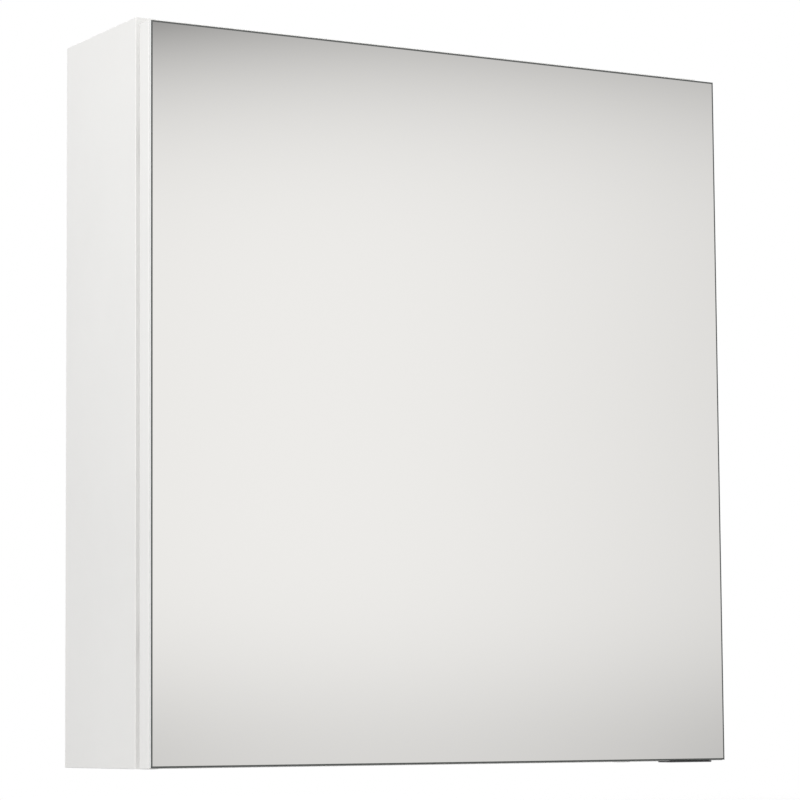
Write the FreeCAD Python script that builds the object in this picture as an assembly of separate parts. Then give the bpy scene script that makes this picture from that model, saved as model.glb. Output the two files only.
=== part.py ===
import FreeCAD, Part
import math
import os

from FreeCAD import Rotation, Vector

# A single-door bathroom mirror cabinet, in millimetres.
# The origin is the middle of the four wall-screw holes, on the wall plane.
# +X points right, -Y points out of the wall towards the user, +Z points up.

# Overall size
CABINET_WIDTH = 500.0
CABINET_HEIGHT = 550.0
CABINET_DEPTH = 150.0

# Carcass boards
BOARD = 16.0
EDGING = 1.0
EDGING_ROUND = 0.4
ROUND_SHARE_OF_WALL = 0.8
BACK_PANEL = 3.0
BACK_RECESS = 16.0
GROOVE_DEPTH = 6.0
GROOVE_PLAY = 0.15

# Door
DOOR_BOARD = 15.0
DOOR_GAP = 7.0
DOOR_BELOW_TOP = 6.5
DOOR_ABOVE_BOTTOM = 0.5
MIRROR = 3.0
MIRROR_INSET = 0.4
MIRROR_ARRIS = 1.8
MIRROR_FALL = 0.15
ADHESIVE = 0.5
ADHESIVE_INSET = 4.0
DOOR_OPENING = 105.0

# Finger pull under the door
PULL_SHEET = 1.2
PULL_WIDTH = 38.0
PULL_FROM_DOOR_EDGE = 12.5
PULL_SETBACK = 0.5
PULL_LEG = 15.0
PULL_BEND = 0.8
PULL_SCREW_SPACING = 20.0
PULL_SCREW_HEIGHT = 9.0
PULL_SCREW_RADIUS = 1.5
PULL_SCREW_LENGTH = 11.0
PULL_SCREW_HEAD_RADIUS = 3.0
PULL_SCREW_HEAD = 1.2

# Corner joints
DOWEL_RADIUS = 4.0
DOWEL_LENGTH = 30.0
DOWEL_IN_SIDE = 10.0
DOWEL_FROM_FRONT = 30.0
DOWEL_FROM_BACK = 12.0
BORE_PLAY = 0.1
BORE_SPARE = 1.0
CAM_RADIUS = 7.3
CAM_HEIGHT = 12.0
CAM_SETBACK = 24.0
CAM_CAP_RADIUS = 8.5
CAM_CAP = 1.2
BOLT_THREAD_RADIUS = 2.5
BOLT_IN_SIDE = 11.0
BOLT_SHANK_RADIUS = 3.0
BOLT_NECK_RADIUS = 2.0
BOLT_HEAD_RADIUS = 3.4
BOLT_HEAD = 3.0
BOLT_NECK = 4.0
CAM_SLOT_PLAY = 0.4

# Glass shelves and their pins
SHELF = 5.0
SHELF_SETBACK = 11.5
SHELF_SIDE_PLAY = 1.0
SHELF_BACK_PLAY = 2.0
SHELF_CORNER = 4.0
LOWER_SHELF_HEIGHT = 172.0
UPPER_SHELF_HEIGHT = 340.0
PIN_HOLE_PITCH = 32.0
PIN_HOLES_EACH_WAY = 2
PIN_ROW_INSET = 37.0
PIN_RADIUS = 2.5
PIN_SHANK = 9.0
PIN_HEAD_LENGTH = 7.0
PIN_HEAD_WIDTH = 8.0
PIN_HEAD_HEIGHT = 6.0
PIN_HEAD_ROUND = 2.0

# Wall plates
WALL_PLATE = 2.0
WALL_PLATE_WIDTH = 26.0
WALL_PLATE_FROM_SIDE = 15.0
WALL_SCREW_SPACING = 25.0
WALL_SCREW_HOLE_RADIUS = 3.0
PLATE_BELOW_HOLE = 7.0
PLATE_ABOVE_HOLE = 13.0
LIP_STANDOFF = 5.0
LIP_HEIGHT = 13.0

# Hangers
HOUSING_WIDTH = 18.0
HOUSING_DEPTH = 40.0
HOUSING_SPARE = 14.5
HOUSING_TOP_PLAY = 0.5
HOUSING_WALL = 2.5
HOUSING_FROM_BACK = 1.5
HOUSING_ROUND = 2.0
HOUSING_SLOT_PLAY = 0.5
HOUSING_REAR_WALL = 9.0
PEG_RADIUS = 5.0
PEG_LENGTH = 9.0
PEG_SPACING = 32.0
HOOK = 3.0
HOOK_ARM_HEIGHT = 10.0
TOOTH = 3.0
TOOTH_LENGTH = 9.0
TAB_WIDTH = 10.0
TAB_LENGTH = 15.0
TAB_HEIGHT = 6.0
HOOK_TRAVEL = 4.0
LIFT_SCREW_RADIUS = 2.5
LIFT_SCREW_PLAY = 0.2
LIFT_SCREW_HEAD_RADIUS = 4.0
LIFT_SCREW_HEAD = 3.0

# Cup hinges
HINGE_FROM_DOOR_END = 90.0
CUP_RADIUS = 17.5
CUP_WALL = 1.0
CUP_FLOOR = 0.8
CUP_SKIN = 2.5
CUP_FROM_DOOR_EDGE = 3.0
CUP_PLAY = 0.1
FLANGE = 1.0
FLANGE_RADIUS = 20.0
FLANGE_FROM_DOOR_EDGE = 2.5
EAR_RADIUS = 6.5
CUP_SCREW_SPACING = 48.0
CUP_SCREW_OFFSET = 6.0
CUP_SCREW_RADIUS = 1.75
CUP_SCREW_LENGTH = 11.0
CUP_SCREW_HEAD_RADIUS = 3.5
CUP_SCREW_HEAD = 1.6
HINGE_PIN_RADIUS = 2.0
HINGE_PIN_FROM_DOOR_EDGE = 10.0
PIN_END_PLAY = 0.45
NOSE_PLAY = 0.6
PIN_RUNNING_PLAY = 0.05
PIN_SEAT_PLAY = 0.02
LUG_INNER = 8.5
LUG_HALF_WIDTH = 4.2
NOSE_RADIUS = 3.6
NECK_HALF_WIDTH = 3.5
NECK_CLEARANCE = 1.0
NECK_CHAMFER = 4.0
SPRING_LEAF = 0.5
SPRING_HALF_WIDTH = 3.0
SPRING_LENGTH = 25.0
ARM_HALF_WIDTH = 7.0
ARM_SHEET = 1.4
ARM_LENGTH = 58.0
ARM_BEHIND_FRONT = 5.5
ARM_WEB_FROM_SIDE = 13.0
PLATE_SCREW_SETBACK = 37.0
PLATE_SCREW_SPACING = 32.0
PLATE_SCREW_RADIUS = 3.0
PLATE_SCREW_LENGTH = 11.0
PLATE_SCREW_HEAD_RADIUS = 4.6
PLATE_SCREW_HEAD = 2.0
PLATE_BASE = 2.0
PLATE_WING_DEPTH = 14.0
PLATE_WING_MARGIN = 8.0
PLATE_RIB_LENGTH = 44.0
RIB_PLAY = 0.2
CHEEK_PLAY = 1.0
ARM_SCREW_SPREAD = 10.0
ARM_SCREW_RADIUS = 2.5
ARM_SCREW_HEAD_RADIUS = 4.0
ARM_SCREW_HEAD = 2.2
SCREW_PLAY = 0.05

# Door buffers
BUFFER_RADIUS = 4.5
BUFFER_STEM_RADIUS = 2.5
BUFFER_STEM = 9.0
BUFFER_FROM_END = 60.0
BUFFER_ROUND = 1.0
DOOR_TOUCH = 0.3

# Planes that the pieces share
left = -CABINET_WIDTH / 2
right = CABINET_WIDTH / 2
plate_leg_top = WALL_SCREW_SPACING / 2 + PLATE_ABOVE_HOLE
plate_leg_bottom = -WALL_SCREW_SPACING / 2 - PLATE_BELOW_HOLE
lip_top = plate_leg_top + LIP_HEIGHT
arm_middle = lip_top + HOOK_ARM_HEIGHT / 2
housing_half = HOOK_ARM_HEIGHT / 2 + HOOK_TRAVEL + HOUSING_SPARE + HOUSING_WALL
housing_bottom = arm_middle - housing_half
housing_top = arm_middle + housing_half
top = housing_top + HOUSING_TOP_PLAY + BOARD
bottom = top - CABINET_HEIGHT
inner_left = left + BOARD
inner_right = right - BOARD
inner_top = top - BOARD
inner_bottom = bottom + BOARD
door_thickness = DOOR_BOARD + ADHESIVE + MIRROR
carcass_front = -(CABINET_DEPTH - DOOR_GAP - door_thickness)
board_front = carcass_front + EDGING
back_rear = -BACK_RECESS
back_front = back_rear - BACK_PANEL
door_rear = carcass_front - DOOR_GAP
door_face = door_rear - DOOR_BOARD
mirror_rear = door_face - ADHESIVE
mirror_face = mirror_rear - MIRROR
door_top = top - DOOR_BELOW_TOP
door_bottom = bottom + DOOR_ABOVE_BOTTOM
edging_round = min(EDGING_ROUND, ROUND_SHARE_OF_WALL * EDGING)

RIGHTWARD = Vector(1, 0, 0)
BACKWARD = Vector(0, 1, 0)
FORWARD = Vector(0, -1, 0)
UPWARD = Vector(0, 0, 1)
SAME_PLACE = 1e-6


def block(x_range, y_range, z_range):
    """A box between two values on each axis."""
    size = [high - low for low, high in (x_range, y_range, z_range)]
    corner = Vector(x_range[0], y_range[0], z_range[0])
    return Part.makeBox(size[0], size[1], size[2], corner)


def rod(start, direction, radius, length):
    """A round bar from a start point along a direction."""
    return Part.makeCylinder(radius, length, start, direction)


def mirrored(shape):
    """The same piece on the other side of the cabinet's middle plane."""
    return shape.mirror(Vector(0, 0, 0), RIGHTWARD)


def round_edges(shape, radius, wanted):
    """Fillet the edges for which wanted(middle, direction) is true."""
    chosen = []
    for edge in shape.Edges:
        ends = [vertex.Point for vertex in edge.Vertexes]
        if len(ends) == 2:
            along = ends[1] - ends[0]
            middle = (ends[0] + ends[1]) * 0.5
            if wanted(middle, along.normalize()):
                chosen.append(edge)
    return shape.makeFillet(radius, chosen)


def same(first, second):
    """Whether two coordinates are the same place."""
    return abs(first - second) < SAME_PLACE


def save(node, *solids):
    """Write one node as a STEP file, as one solid or a group of separate solids."""
    shape = solids[0] if len(solids) == 1 else Part.makeCompound(list(solids))
    shape.exportStep("parts/" + node + ".step")


# Corner joints: dowels, cam bolts and cams where a flat panel meets a side
joint_middle = carcass_front / 2
dowel_places = [carcass_front + DOWEL_FROM_FRONT, back_front - DOWEL_FROM_BACK]
panel_middles = [inner_top + BOARD / 2, inner_bottom - BOARD / 2]
cam_x = inner_left + CAM_SETBACK


def left_dowels(play=0.0, spare=0.0):
    """The dowels at the left ends of both panels, or their bores when given play."""
    start_x = inner_left - DOWEL_IN_SIDE - spare
    length = DOWEL_LENGTH + 2 * spare
    places = [Vector(start_x, y, z) for z in panel_middles for y in dowel_places]
    return [rod(place, RIGHTWARD, DOWEL_RADIUS + play, length) for place in places]


def left_bolt(z):
    """A cam bolt: thread in the side panel, shank in the panel, neck and head in the cam."""
    thread_end = inner_left
    head_start = cam_x - BOLT_HEAD / 2
    neck_start = head_start - BOLT_NECK
    axis = Vector(0, joint_middle, z)
    steps = [
        (thread_end - BOLT_IN_SIDE, thread_end, BOLT_THREAD_RADIUS),
        (thread_end, neck_start, BOLT_SHANK_RADIUS),
        (neck_start, head_start, BOLT_NECK_RADIUS),
        (head_start, head_start + BOLT_HEAD, BOLT_HEAD_RADIUS),
    ]
    bars = [rod(axis + RIGHTWARD * low, RIGHTWARD, radius, high - low) for low, high, radius in steps]
    return bars[0].fuse(bars[1:])


def left_bolt_bores():
    """Bores for the cam bolts: narrow in the side panel, wider in the panel's end."""
    bores = []
    for z in panel_middles:
        side_start = Vector(inner_left - BOLT_IN_SIDE - BORE_SPARE, joint_middle, z)
        bores.append(rod(side_start, RIGHTWARD, BOLT_THREAD_RADIUS + BORE_PLAY, BOLT_IN_SIDE + BORE_SPARE))
        panel_start = Vector(inner_left, joint_middle, z)
        bores.append(rod(panel_start, RIGHTWARD, BOLT_HEAD_RADIUS + BORE_PLAY, CAM_SETBACK))
    return bores


def cam_body(outer_z, inward, play=0.0):
    """A cam's round body, reaching into its panel from the panel's outer face."""
    start = Vector(cam_x, joint_middle, outer_z)
    return rod(start, UPWARD * inward, CAM_RADIUS + play, CAM_HEIGHT + play)


def left_cam(outer_z, inward):
    """A cam with the slot that takes the bolt's head."""
    middle_z = outer_z + inward * BOARD / 2
    reach = BOLT_HEAD_RADIUS + CAM_SLOT_PLAY
    slot_end = cam_x + BOLT_HEAD / 2 + CAM_SLOT_PLAY
    slot = block(
        (cam_x - 2 * CAM_RADIUS, slot_end),
        (joint_middle - reach, joint_middle + reach),
        (middle_z - reach, middle_z + reach),
    )
    return cam_body(outer_z, inward).cut(slot)


def cam_cap(outer_z, inward):
    """A push-on cap that hides a cam."""
    start = Vector(cam_x, joint_middle, outer_z)
    cap = rod(start, UPWARD * -inward, CAM_CAP_RADIUS, CAM_CAP)
    rim_z = outer_z - inward * CAM_CAP
    boxes = [(edge, edge.BoundBox) for edge in cap.Edges]
    rim = [edge for edge, box in boxes if same(box.ZMin, rim_z) and same(box.ZMax, rim_z)]
    return cap.makeFillet(CAM_CAP / 2, rim)


cam_faces = [(top, -1), (bottom, 1)]

# Shelf pins: rows of holes in both sides, with pins under each shelf
shelf_heights = [inner_bottom + LOWER_SHELF_HEIGHT, inner_bottom + UPPER_SHELF_HEIGHT]
pin_rows = [carcass_front + PIN_ROW_INSET, -PIN_ROW_INSET]
pin_drop = PIN_HEAD_HEIGHT / 2


def left_pin_holes():
    """Rows of holes in the left side, so that each shelf can be set higher or lower."""
    holes = []
    depth = PIN_SHANK + BORE_SPARE
    for height in shelf_heights:
        for step in range(-PIN_HOLES_EACH_WAY, PIN_HOLES_EACH_WAY + 1):
            z = height - pin_drop + step * PIN_HOLE_PITCH
            starts = [Vector(inner_left - depth, y, z) for y in pin_rows]
            holes.extend(rod(start, RIGHTWARD, PIN_RADIUS + BORE_PLAY, depth) for start in starts)
    return holes


def left_shelf_pin(y, height):
    """A pin with a round shank in the side and a flat-topped head under the shelf."""
    shank = rod(Vector(inner_left - PIN_SHANK, y, height - pin_drop), RIGHTWARD, PIN_RADIUS, PIN_SHANK)
    head = block(
        (inner_left, inner_left + PIN_HEAD_LENGTH),
        (y - PIN_HEAD_WIDTH / 2, y + PIN_HEAD_WIDTH / 2),
        (height - PIN_HEAD_HEIGHT, height),
    )
    low_z = height - PIN_HEAD_HEIGHT
    head = round_edges(head, PIN_HEAD_ROUND, lambda m, d: same(abs(d.x), 1) and same(m.z, low_z))
    return shank.fuse(head)


def glass_shelf(height):
    """A loose glass shelf on its pins, with rounded front corners."""
    rear = back_front - SHELF_BACK_PLAY
    front = carcass_front + SHELF_SETBACK
    plate = block(
        (inner_left + SHELF_SIDE_PLAY, inner_right - SHELF_SIDE_PLAY),
        (front, rear),
        (height, height + SHELF),
    )
    return round_edges(plate, SHELF_CORNER, lambda m, d: same(abs(d.z), 1) and same(m.y, front))


# Wall plates and hangers, drawn for the left side
plate_x = inner_left + WALL_PLATE_FROM_SIDE
hook_x = inner_left + HOUSING_WIDTH / 2
lip_rear = -LIP_STANDOFF
lip_front = lip_rear - WALL_PLATE
housing_rear = back_front - HOUSING_FROM_BACK
housing_front = housing_rear - HOUSING_DEPTH
chamber_front = housing_front + HOUSING_WALL
chamber_rear = housing_rear - HOUSING_REAR_WALL
tab_front = chamber_front + HOUSING_WALL
tab_rear = tab_front + TAB_LENGTH
lift_screw_y = (tab_front + tab_rear) / 2


def left_wall_plate():
    """A screwed-on steel plate with a standing lip that the hook drops over."""
    width = (plate_x - WALL_PLATE_WIDTH / 2, plate_x + WALL_PLATE_WIDTH / 2)
    leg = block(width, (-WALL_PLATE, 0), (plate_leg_bottom, plate_leg_top))
    step = block(width, (lip_front, 0), (plate_leg_top - WALL_PLATE, plate_leg_top))
    lip = block(width, (lip_front, lip_rear), (plate_leg_top - WALL_PLATE, lip_top))
    plate = leg.fuse([step, lip]).removeSplitter()
    for z in (-WALL_SCREW_SPACING / 2, WALL_SCREW_SPACING / 2):
        start = Vector(plate_x, -WALL_PLATE, z)
        plate = plate.cut(rod(start, BACKWARD, WALL_SCREW_HOLE_RADIUS, WALL_PLATE))
    return plate


def left_hook():
    """The steel hook: an arm out to the wall plate, a tooth behind its lip, a threaded tab."""
    width = (hook_x - HOOK / 2, hook_x + HOOK / 2)
    tooth_middle = lip_rear / 2
    tooth_range = (tooth_middle - TOOTH / 2, tooth_middle + TOOTH / 2)
    arm = block(width, (tab_rear, tooth_range[1]), (lip_top, lip_top + HOOK_ARM_HEIGHT))
    tooth = block(width, tooth_range, (lip_top - TOOTH_LENGTH, lip_top))
    tab = block(
        (hook_x - TAB_WIDTH / 2, hook_x + TAB_WIDTH / 2),
        (tab_front, tab_rear),
        (arm_middle - TAB_HEIGHT / 2, arm_middle + TAB_HEIGHT / 2),
    )
    hook = arm.fuse([tooth, tab]).removeSplitter()
    bore_start = Vector(hook_x, lift_screw_y, arm_middle - TAB_HEIGHT / 2)
    return hook.cut(rod(bore_start, UPWARD, LIFT_SCREW_RADIUS + LIFT_SCREW_PLAY, TAB_HEIGHT))


def left_pegs(play=0.0, spare=0.0):
    """The pegs that hold a hanger in its side panel, or their bores when given play."""
    y = (housing_front + housing_rear) / 2
    start_x = inner_left - PEG_LENGTH - spare
    heights = (arm_middle - PEG_SPACING / 2, arm_middle + PEG_SPACING / 2)
    return [rod(Vector(start_x, y, z), RIGHTWARD, PEG_RADIUS + play, PEG_LENGTH + spare) for z in heights]


def left_housing():
    """The plastic hanger housing: closed in front, slotted behind, with a floor for the lift screw."""
    outer = block(
        (inner_left, inner_left + HOUSING_WIDTH),
        (housing_front, housing_rear),
        (housing_bottom, housing_top),
    )
    outer_x = inner_left + HOUSING_WIDTH
    outer = round_edges(
        outer,
        HOUSING_ROUND,
        lambda m, d: same(m.x, outer_x) and not same(m.y, housing_rear) or same(m.y, housing_front),
    )
    inside_z = (housing_bottom + HOUSING_WALL, housing_top - HOUSING_WALL)
    chamber = block(
        (inner_left + HOUSING_WALL, outer_x - HOUSING_WALL),
        (chamber_front, chamber_rear),
        inside_z,
    )
    slot_half = HOOK / 2 + HOUSING_SLOT_PLAY
    slot = block((hook_x - slot_half, hook_x + slot_half), (chamber_rear, housing_rear), inside_z)
    screw_hole = rod(
        Vector(hook_x, lift_screw_y, housing_bottom),
        UPWARD,
        LIFT_SCREW_RADIUS + LIFT_SCREW_PLAY,
        HOUSING_WALL,
    )
    return outer.cut([chamber, slot, screw_hole]).fuse(left_pegs())


def left_lift_screw():
    """The upright screw that sets the hook's height, turned from below."""
    length = 2 * housing_half - HOUSING_WALL - BORE_SPARE
    seat = Vector(hook_x, lift_screw_y, housing_bottom)
    shank = rod(seat, UPWARD, LIFT_SCREW_RADIUS, length)
    return shank.fuse(rod(seat, UPWARD * -1, LIFT_SCREW_HEAD_RADIUS, LIFT_SCREW_HEAD))


# Hinges: shared places in plan, and the height of each hinge
hinge_heights = {"upper": door_top - HINGE_FROM_DOOR_END, "lower": door_bottom + HINGE_FROM_DOOR_END}
cup_x = left + CUP_FROM_DOOR_EDGE + CUP_RADIUS
cup_depth = DOOR_BOARD - CUP_SKIN
cup_floor_y = door_rear - cup_depth + CUP_FLOOR
cup_inner_radius = CUP_RADIUS - CUP_WALL
cup_screw_x = cup_x + CUP_SCREW_OFFSET
pin_x = left + HINGE_PIN_FROM_DOOR_EDGE
pin_y = cup_floor_y + SPRING_LEAF + NOSE_PLAY + NOSE_RADIUS
pin_half_length = math.sqrt(CUP_RADIUS ** 2 - (cup_x - pin_x + HINGE_PIN_RADIUS) ** 2) - PIN_END_PLAY
web_inner_x = inner_left + ARM_WEB_FROM_SIDE - ARM_SHEET
web_outer_x = inner_left + ARM_WEB_FROM_SIDE
arm_front = carcass_front + ARM_BEHIND_FRONT
arm_rear = arm_front + ARM_LENGTH
plate_screw_y = carcass_front + PLATE_SCREW_SETBACK
arm_screw_places = [plate_screw_y - ARM_SCREW_SPREAD, plate_screw_y + ARM_SCREW_SPREAD]


def at_full_opening(point):
    """Where a point of the door is, in plan, when the door is fully open."""
    centre = Vector(pin_x, pin_y, 0)
    return centre + Rotation(UPWARD * -1, DOOR_OPENING).multVec(point - centre)


def hinge_cup(z):
    """A cup let into the door, with a screwed flange and two lugs that hold the hinge pin."""
    mouth = Vector(cup_x, door_rear, z)
    shell = rod(mouth, FORWARD, CUP_RADIUS, cup_depth)
    flange_start = mouth + BACKWARD * FLANGE
    flange = rod(flange_start, FORWARD, FLANGE_RADIUS, FLANGE)
    for side in (-1, 1):
        ear_start = Vector(cup_screw_x, door_rear + FLANGE, z + side * CUP_SCREW_SPACING / 2)
        flange = flange.fuse(rod(ear_start, FORWARD, EAR_RADIUS, FLANGE))
    bridge = block(
        (cup_screw_x - EAR_RADIUS, cup_screw_x + EAR_RADIUS),
        (door_rear, door_rear + FLANGE),
        (z - CUP_SCREW_SPACING / 2, z + CUP_SCREW_SPACING / 2),
    )
    trimmed_side = block(
        (left - CUP_RADIUS, left + FLANGE_FROM_DOOR_EDGE),
        (door_rear - FLANGE, door_rear + 2 * FLANGE),
        (z - CUP_SCREW_SPACING, z + CUP_SCREW_SPACING),
    )
    flange = flange.fuse(bridge).cut(trimmed_side)
    hollow = rod(flange_start, FORWARD, cup_inner_radius, FLANGE + cup_depth - CUP_FLOOR)
    cup = shell.fuse(flange).cut(hollow)
    lug_range_x = (pin_x - LUG_HALF_WIDTH, pin_x + LUG_HALF_WIDTH)
    lug_range_y = (cup_floor_y, pin_y + LUG_HALF_WIDTH)
    for side in (-1, 1):
        lug_z = sorted((z + side * LUG_INNER, z + side * CUP_RADIUS))
        lug = block(lug_range_x, lug_range_y, lug_z).common(shell)
        cup = cup.fuse(lug)
        screw_start = Vector(cup_screw_x, door_rear, z + side * CUP_SCREW_SPACING / 2)
        cup = cup.cut(rod(screw_start, BACKWARD, CUP_SCREW_RADIUS + SCREW_PLAY, FLANGE))
    return cup.cut(hinge_pin(z, PIN_SEAT_PLAY)).removeSplitter()


def hinge_pin(z, play=0.0):
    """The upright pin that the door turns on, or its bore when given play."""
    start = Vector(pin_x, pin_y, z - pin_half_length)
    return rod(start, UPWARD, HINGE_PIN_RADIUS + play, 2 * pin_half_length)


def hinge_spring(z):
    """A leaf spring on the cup's floor, under the arm's nose, that holds the door shut."""
    start_x = pin_x - SPRING_HALF_WIDTH
    return block(
        (start_x, start_x + SPRING_LENGTH),
        (cup_floor_y, cup_floor_y + SPRING_LEAF),
        (z - SPRING_HALF_WIDTH, z + SPRING_HALF_WIDTH),
    )


def cup_screws(z):
    """The two wood screws that hold a cup's flange to the door."""
    screws = []
    for side in (-1, 1):
        seat = Vector(cup_screw_x, door_rear + FLANGE, z + side * CUP_SCREW_SPACING / 2)
        shank = rod(seat, FORWARD, CUP_SCREW_RADIUS, FLANGE + CUP_SCREW_LENGTH)
        screws.append(shank.fuse(rod(seat, BACKWARD, CUP_SCREW_HEAD_RADIUS, CUP_SCREW_HEAD)))
    return screws


def arm_neck(z):
    """The swan neck that reaches into the cup and hooks round to the pin, clear of the cup's rim."""
    rear_of_flange = door_rear + FLANGE
    rim = at_full_opening(Vector(cup_x - cup_inner_radius, rear_of_flange, 0))
    flange_corner = at_full_opening(Vector(left + FLANGE_FROM_DOOR_EDGE, rear_of_flange, 0))
    leg_left = max(rim.x, flange_corner.x) + NECK_CLEARANCE
    hook_y = rim.y - NECK_CLEARANCE
    low = z - NECK_HALF_WIDTH
    start = Vector(leg_left, arm_front, low)
    inner_corner = Vector(leg_left, hook_y, low)
    nose_rear = Vector(pin_x, pin_y + NOSE_RADIUS, low)
    nose_tip = Vector(pin_x - NOSE_RADIUS, pin_y, low)
    nose_front = Vector(pin_x, pin_y - NOSE_RADIUS, low)
    front_corner = Vector(web_outer_x - NECK_CHAMFER, pin_y - NOSE_RADIUS, low)
    right_corner = Vector(web_outer_x, pin_y - NOSE_RADIUS + NECK_CHAMFER, low)
    finish = Vector(web_outer_x, arm_front, low)
    edges = [
        Part.LineSegment(start, inner_corner).toShape(),
        Part.LineSegment(inner_corner, nose_rear).toShape(),
        Part.Arc(nose_rear, nose_tip, nose_front).toShape(),
        Part.LineSegment(nose_front, front_corner).toShape(),
        Part.LineSegment(front_corner, right_corner).toShape(),
        Part.LineSegment(right_corner, finish).toShape(),
        Part.LineSegment(finish, start).toShape(),
    ]
    return Part.Face(Part.Wire(edges)).extrude(UPWARD * 2 * NECK_HALF_WIDTH)


def hinge_arm(z):
    """A channel over the mounting plate's rib, closed at the front, with the swan neck on its end."""
    width = (z - ARM_HALF_WIDTH, z + ARM_HALF_WIDTH)
    cheek_x = inner_left + PLATE_BASE + CHEEK_PLAY
    channel = block((cheek_x, web_outer_x), (arm_front, arm_rear), width)
    hollow = block(
        (cheek_x, web_inner_x),
        (arm_front + ARM_SHEET, arm_rear),
        (width[0] + ARM_SHEET, width[1] - ARM_SHEET),
    )
    arm = channel.cut(hollow).fuse(arm_neck(z))
    arm = arm.cut(hinge_pin(z, PIN_RUNNING_PLAY))
    for y in arm_screw_places:
        start = Vector(web_inner_x, y, z)
        arm = arm.cut(rod(start, RIGHTWARD, ARM_SCREW_RADIUS + SCREW_PLAY, ARM_SHEET))
    return arm.removeSplitter()


def hinge_plate(z):
    """A winged mounting plate on the side panel, with the rib that carries the arm."""
    half_rib = ARM_HALF_WIDTH - ARM_SHEET - CHEEK_PLAY
    wing_half = PLATE_SCREW_SPACING / 2 + PLATE_WING_MARGIN
    wing = block(
        (inner_left, inner_left + PLATE_BASE),
        (plate_screw_y - PLATE_WING_DEPTH / 2, plate_screw_y + PLATE_WING_DEPTH / 2),
        (z - wing_half, z + wing_half),
    )
    wing_round = ROUND_SHARE_OF_WALL * PLATE_WING_DEPTH / 2
    wing = round_edges(wing, wing_round, lambda m, d: same(abs(d.x), 1))
    rib = block(
        (inner_left, web_inner_x - RIB_PLAY),
        (plate_screw_y - PLATE_RIB_LENGTH / 2, plate_screw_y + PLATE_RIB_LENGTH / 2),
        (z - half_rib, z + half_rib),
    )
    plate = wing.fuse(rib)
    for side in (-1, 1):
        start = Vector(inner_left, plate_screw_y, z + side * PLATE_SCREW_SPACING / 2)
        plate = plate.cut(rod(start, RIGHTWARD, PLATE_SCREW_RADIUS + SCREW_PLAY, PLATE_BASE))
    for y in arm_screw_places:
        start = Vector(inner_left + PLATE_BASE, y, z)
        plate = plate.cut(rod(start, RIGHTWARD, ARM_SCREW_RADIUS + SCREW_PLAY, ARM_WEB_FROM_SIDE))
    return plate.removeSplitter()


def plate_screws(z):
    """The two screws that hold a mounting plate to the side panel."""
    screws = []
    for side in (-1, 1):
        seat = Vector(inner_left + PLATE_BASE, plate_screw_y, z + side * PLATE_SCREW_SPACING / 2)
        shank = rod(seat, RIGHTWARD * -1, PLATE_SCREW_RADIUS, PLATE_BASE + PLATE_SCREW_LENGTH)
        screws.append(shank.fuse(rod(seat, RIGHTWARD, PLATE_SCREW_HEAD_RADIUS, PLATE_SCREW_HEAD)))
    return screws


def arm_screws(z):
    """The clamping and adjusting screws on top of a hinge arm."""
    screws = []
    for y in arm_screw_places:
        seat = Vector(web_outer_x, y, z)
        shank_end = inner_left + PLATE_BASE + BORE_SPARE
        shank = rod(seat, RIGHTWARD * -1, ARM_SCREW_RADIUS, web_outer_x - shank_end)
        screws.append(shank.fuse(rod(seat, RIGHTWARD, ARM_SCREW_HEAD_RADIUS, ARM_SCREW_HEAD)))
    return screws


# Door buffers, pushed into the right side's front edge
buffer_x = right - BOARD / 2
buffer_heights = [door_bottom + BUFFER_FROM_END, door_top - BUFFER_FROM_END]


def buffer_bores():
    """Bores in the right side's front edge for the buffers' stems."""
    length = BUFFER_STEM + BORE_SPARE
    starts = [Vector(buffer_x, carcass_front, z) for z in buffer_heights]
    return [rod(start, BACKWARD, BUFFER_STEM_RADIUS + BORE_PLAY, length) for start in starts]


def door_buffer(z):
    """A soft push-in buffer that the shut door rests against."""
    seat = Vector(buffer_x, carcass_front, z)
    head_length = DOOR_GAP - DOOR_TOUCH
    tip_y = carcass_front - head_length
    head = rod(seat, FORWARD, BUFFER_RADIUS, head_length)
    boxes = [(edge, edge.BoundBox) for edge in head.Edges]
    tip = [edge for edge, box in boxes if same(box.YMin, tip_y) and same(box.YMax, tip_y)]
    head = head.makeFillet(BUFFER_ROUND, tip)
    return head.fuse(rod(seat, BACKWARD, BUFFER_STEM_RADIUS, BUFFER_STEM))


# Carcass boards
def back_groove():
    """The groove that runs round the carcass for the back panel."""
    reach = GROOVE_DEPTH
    return block(
        (inner_left - reach, inner_right + reach),
        (back_front - GROOVE_PLAY, back_rear + GROOVE_PLAY),
        (inner_bottom - reach, inner_top + reach),
    )


def side_blank():
    """The left side panel with the joints and holes that both sides have."""
    board = block((left, inner_left), (board_front, 0), (bottom, top))
    cuts = left_dowels(BORE_PLAY, BORE_SPARE) + left_bolt_bores() + left_pin_holes()
    cuts = cuts + left_pegs(BORE_PLAY, BORE_SPARE) + [back_groove()]
    return board.cut(cuts)


def left_side():
    """The left side panel, which also takes the hinge plates' screws."""
    bores = []
    for z in hinge_heights.values():
        for side in (-1, 1):
            seat = Vector(inner_left, plate_screw_y, z + side * PLATE_SCREW_SPACING / 2)
            depth = PLATE_SCREW_LENGTH + BORE_SPARE
            bores.append(rod(seat, RIGHTWARD * -1, PLATE_SCREW_RADIUS + BORE_PLAY, depth))
    return side_blank().cut(bores)


def flat_panel(z_range, outer_z, inward):
    """The top or bottom panel, between the sides."""
    panel = block((inner_left, inner_right), (board_front, 0), z_range)
    cuts = left_dowels(BORE_PLAY, BORE_SPARE) + left_bolt_bores()
    cuts.append(cam_body(outer_z, inward, BORE_PLAY))
    cuts = cuts + [mirrored(tool) for tool in cuts]
    return panel.cut(cuts + [back_groove()])


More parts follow.
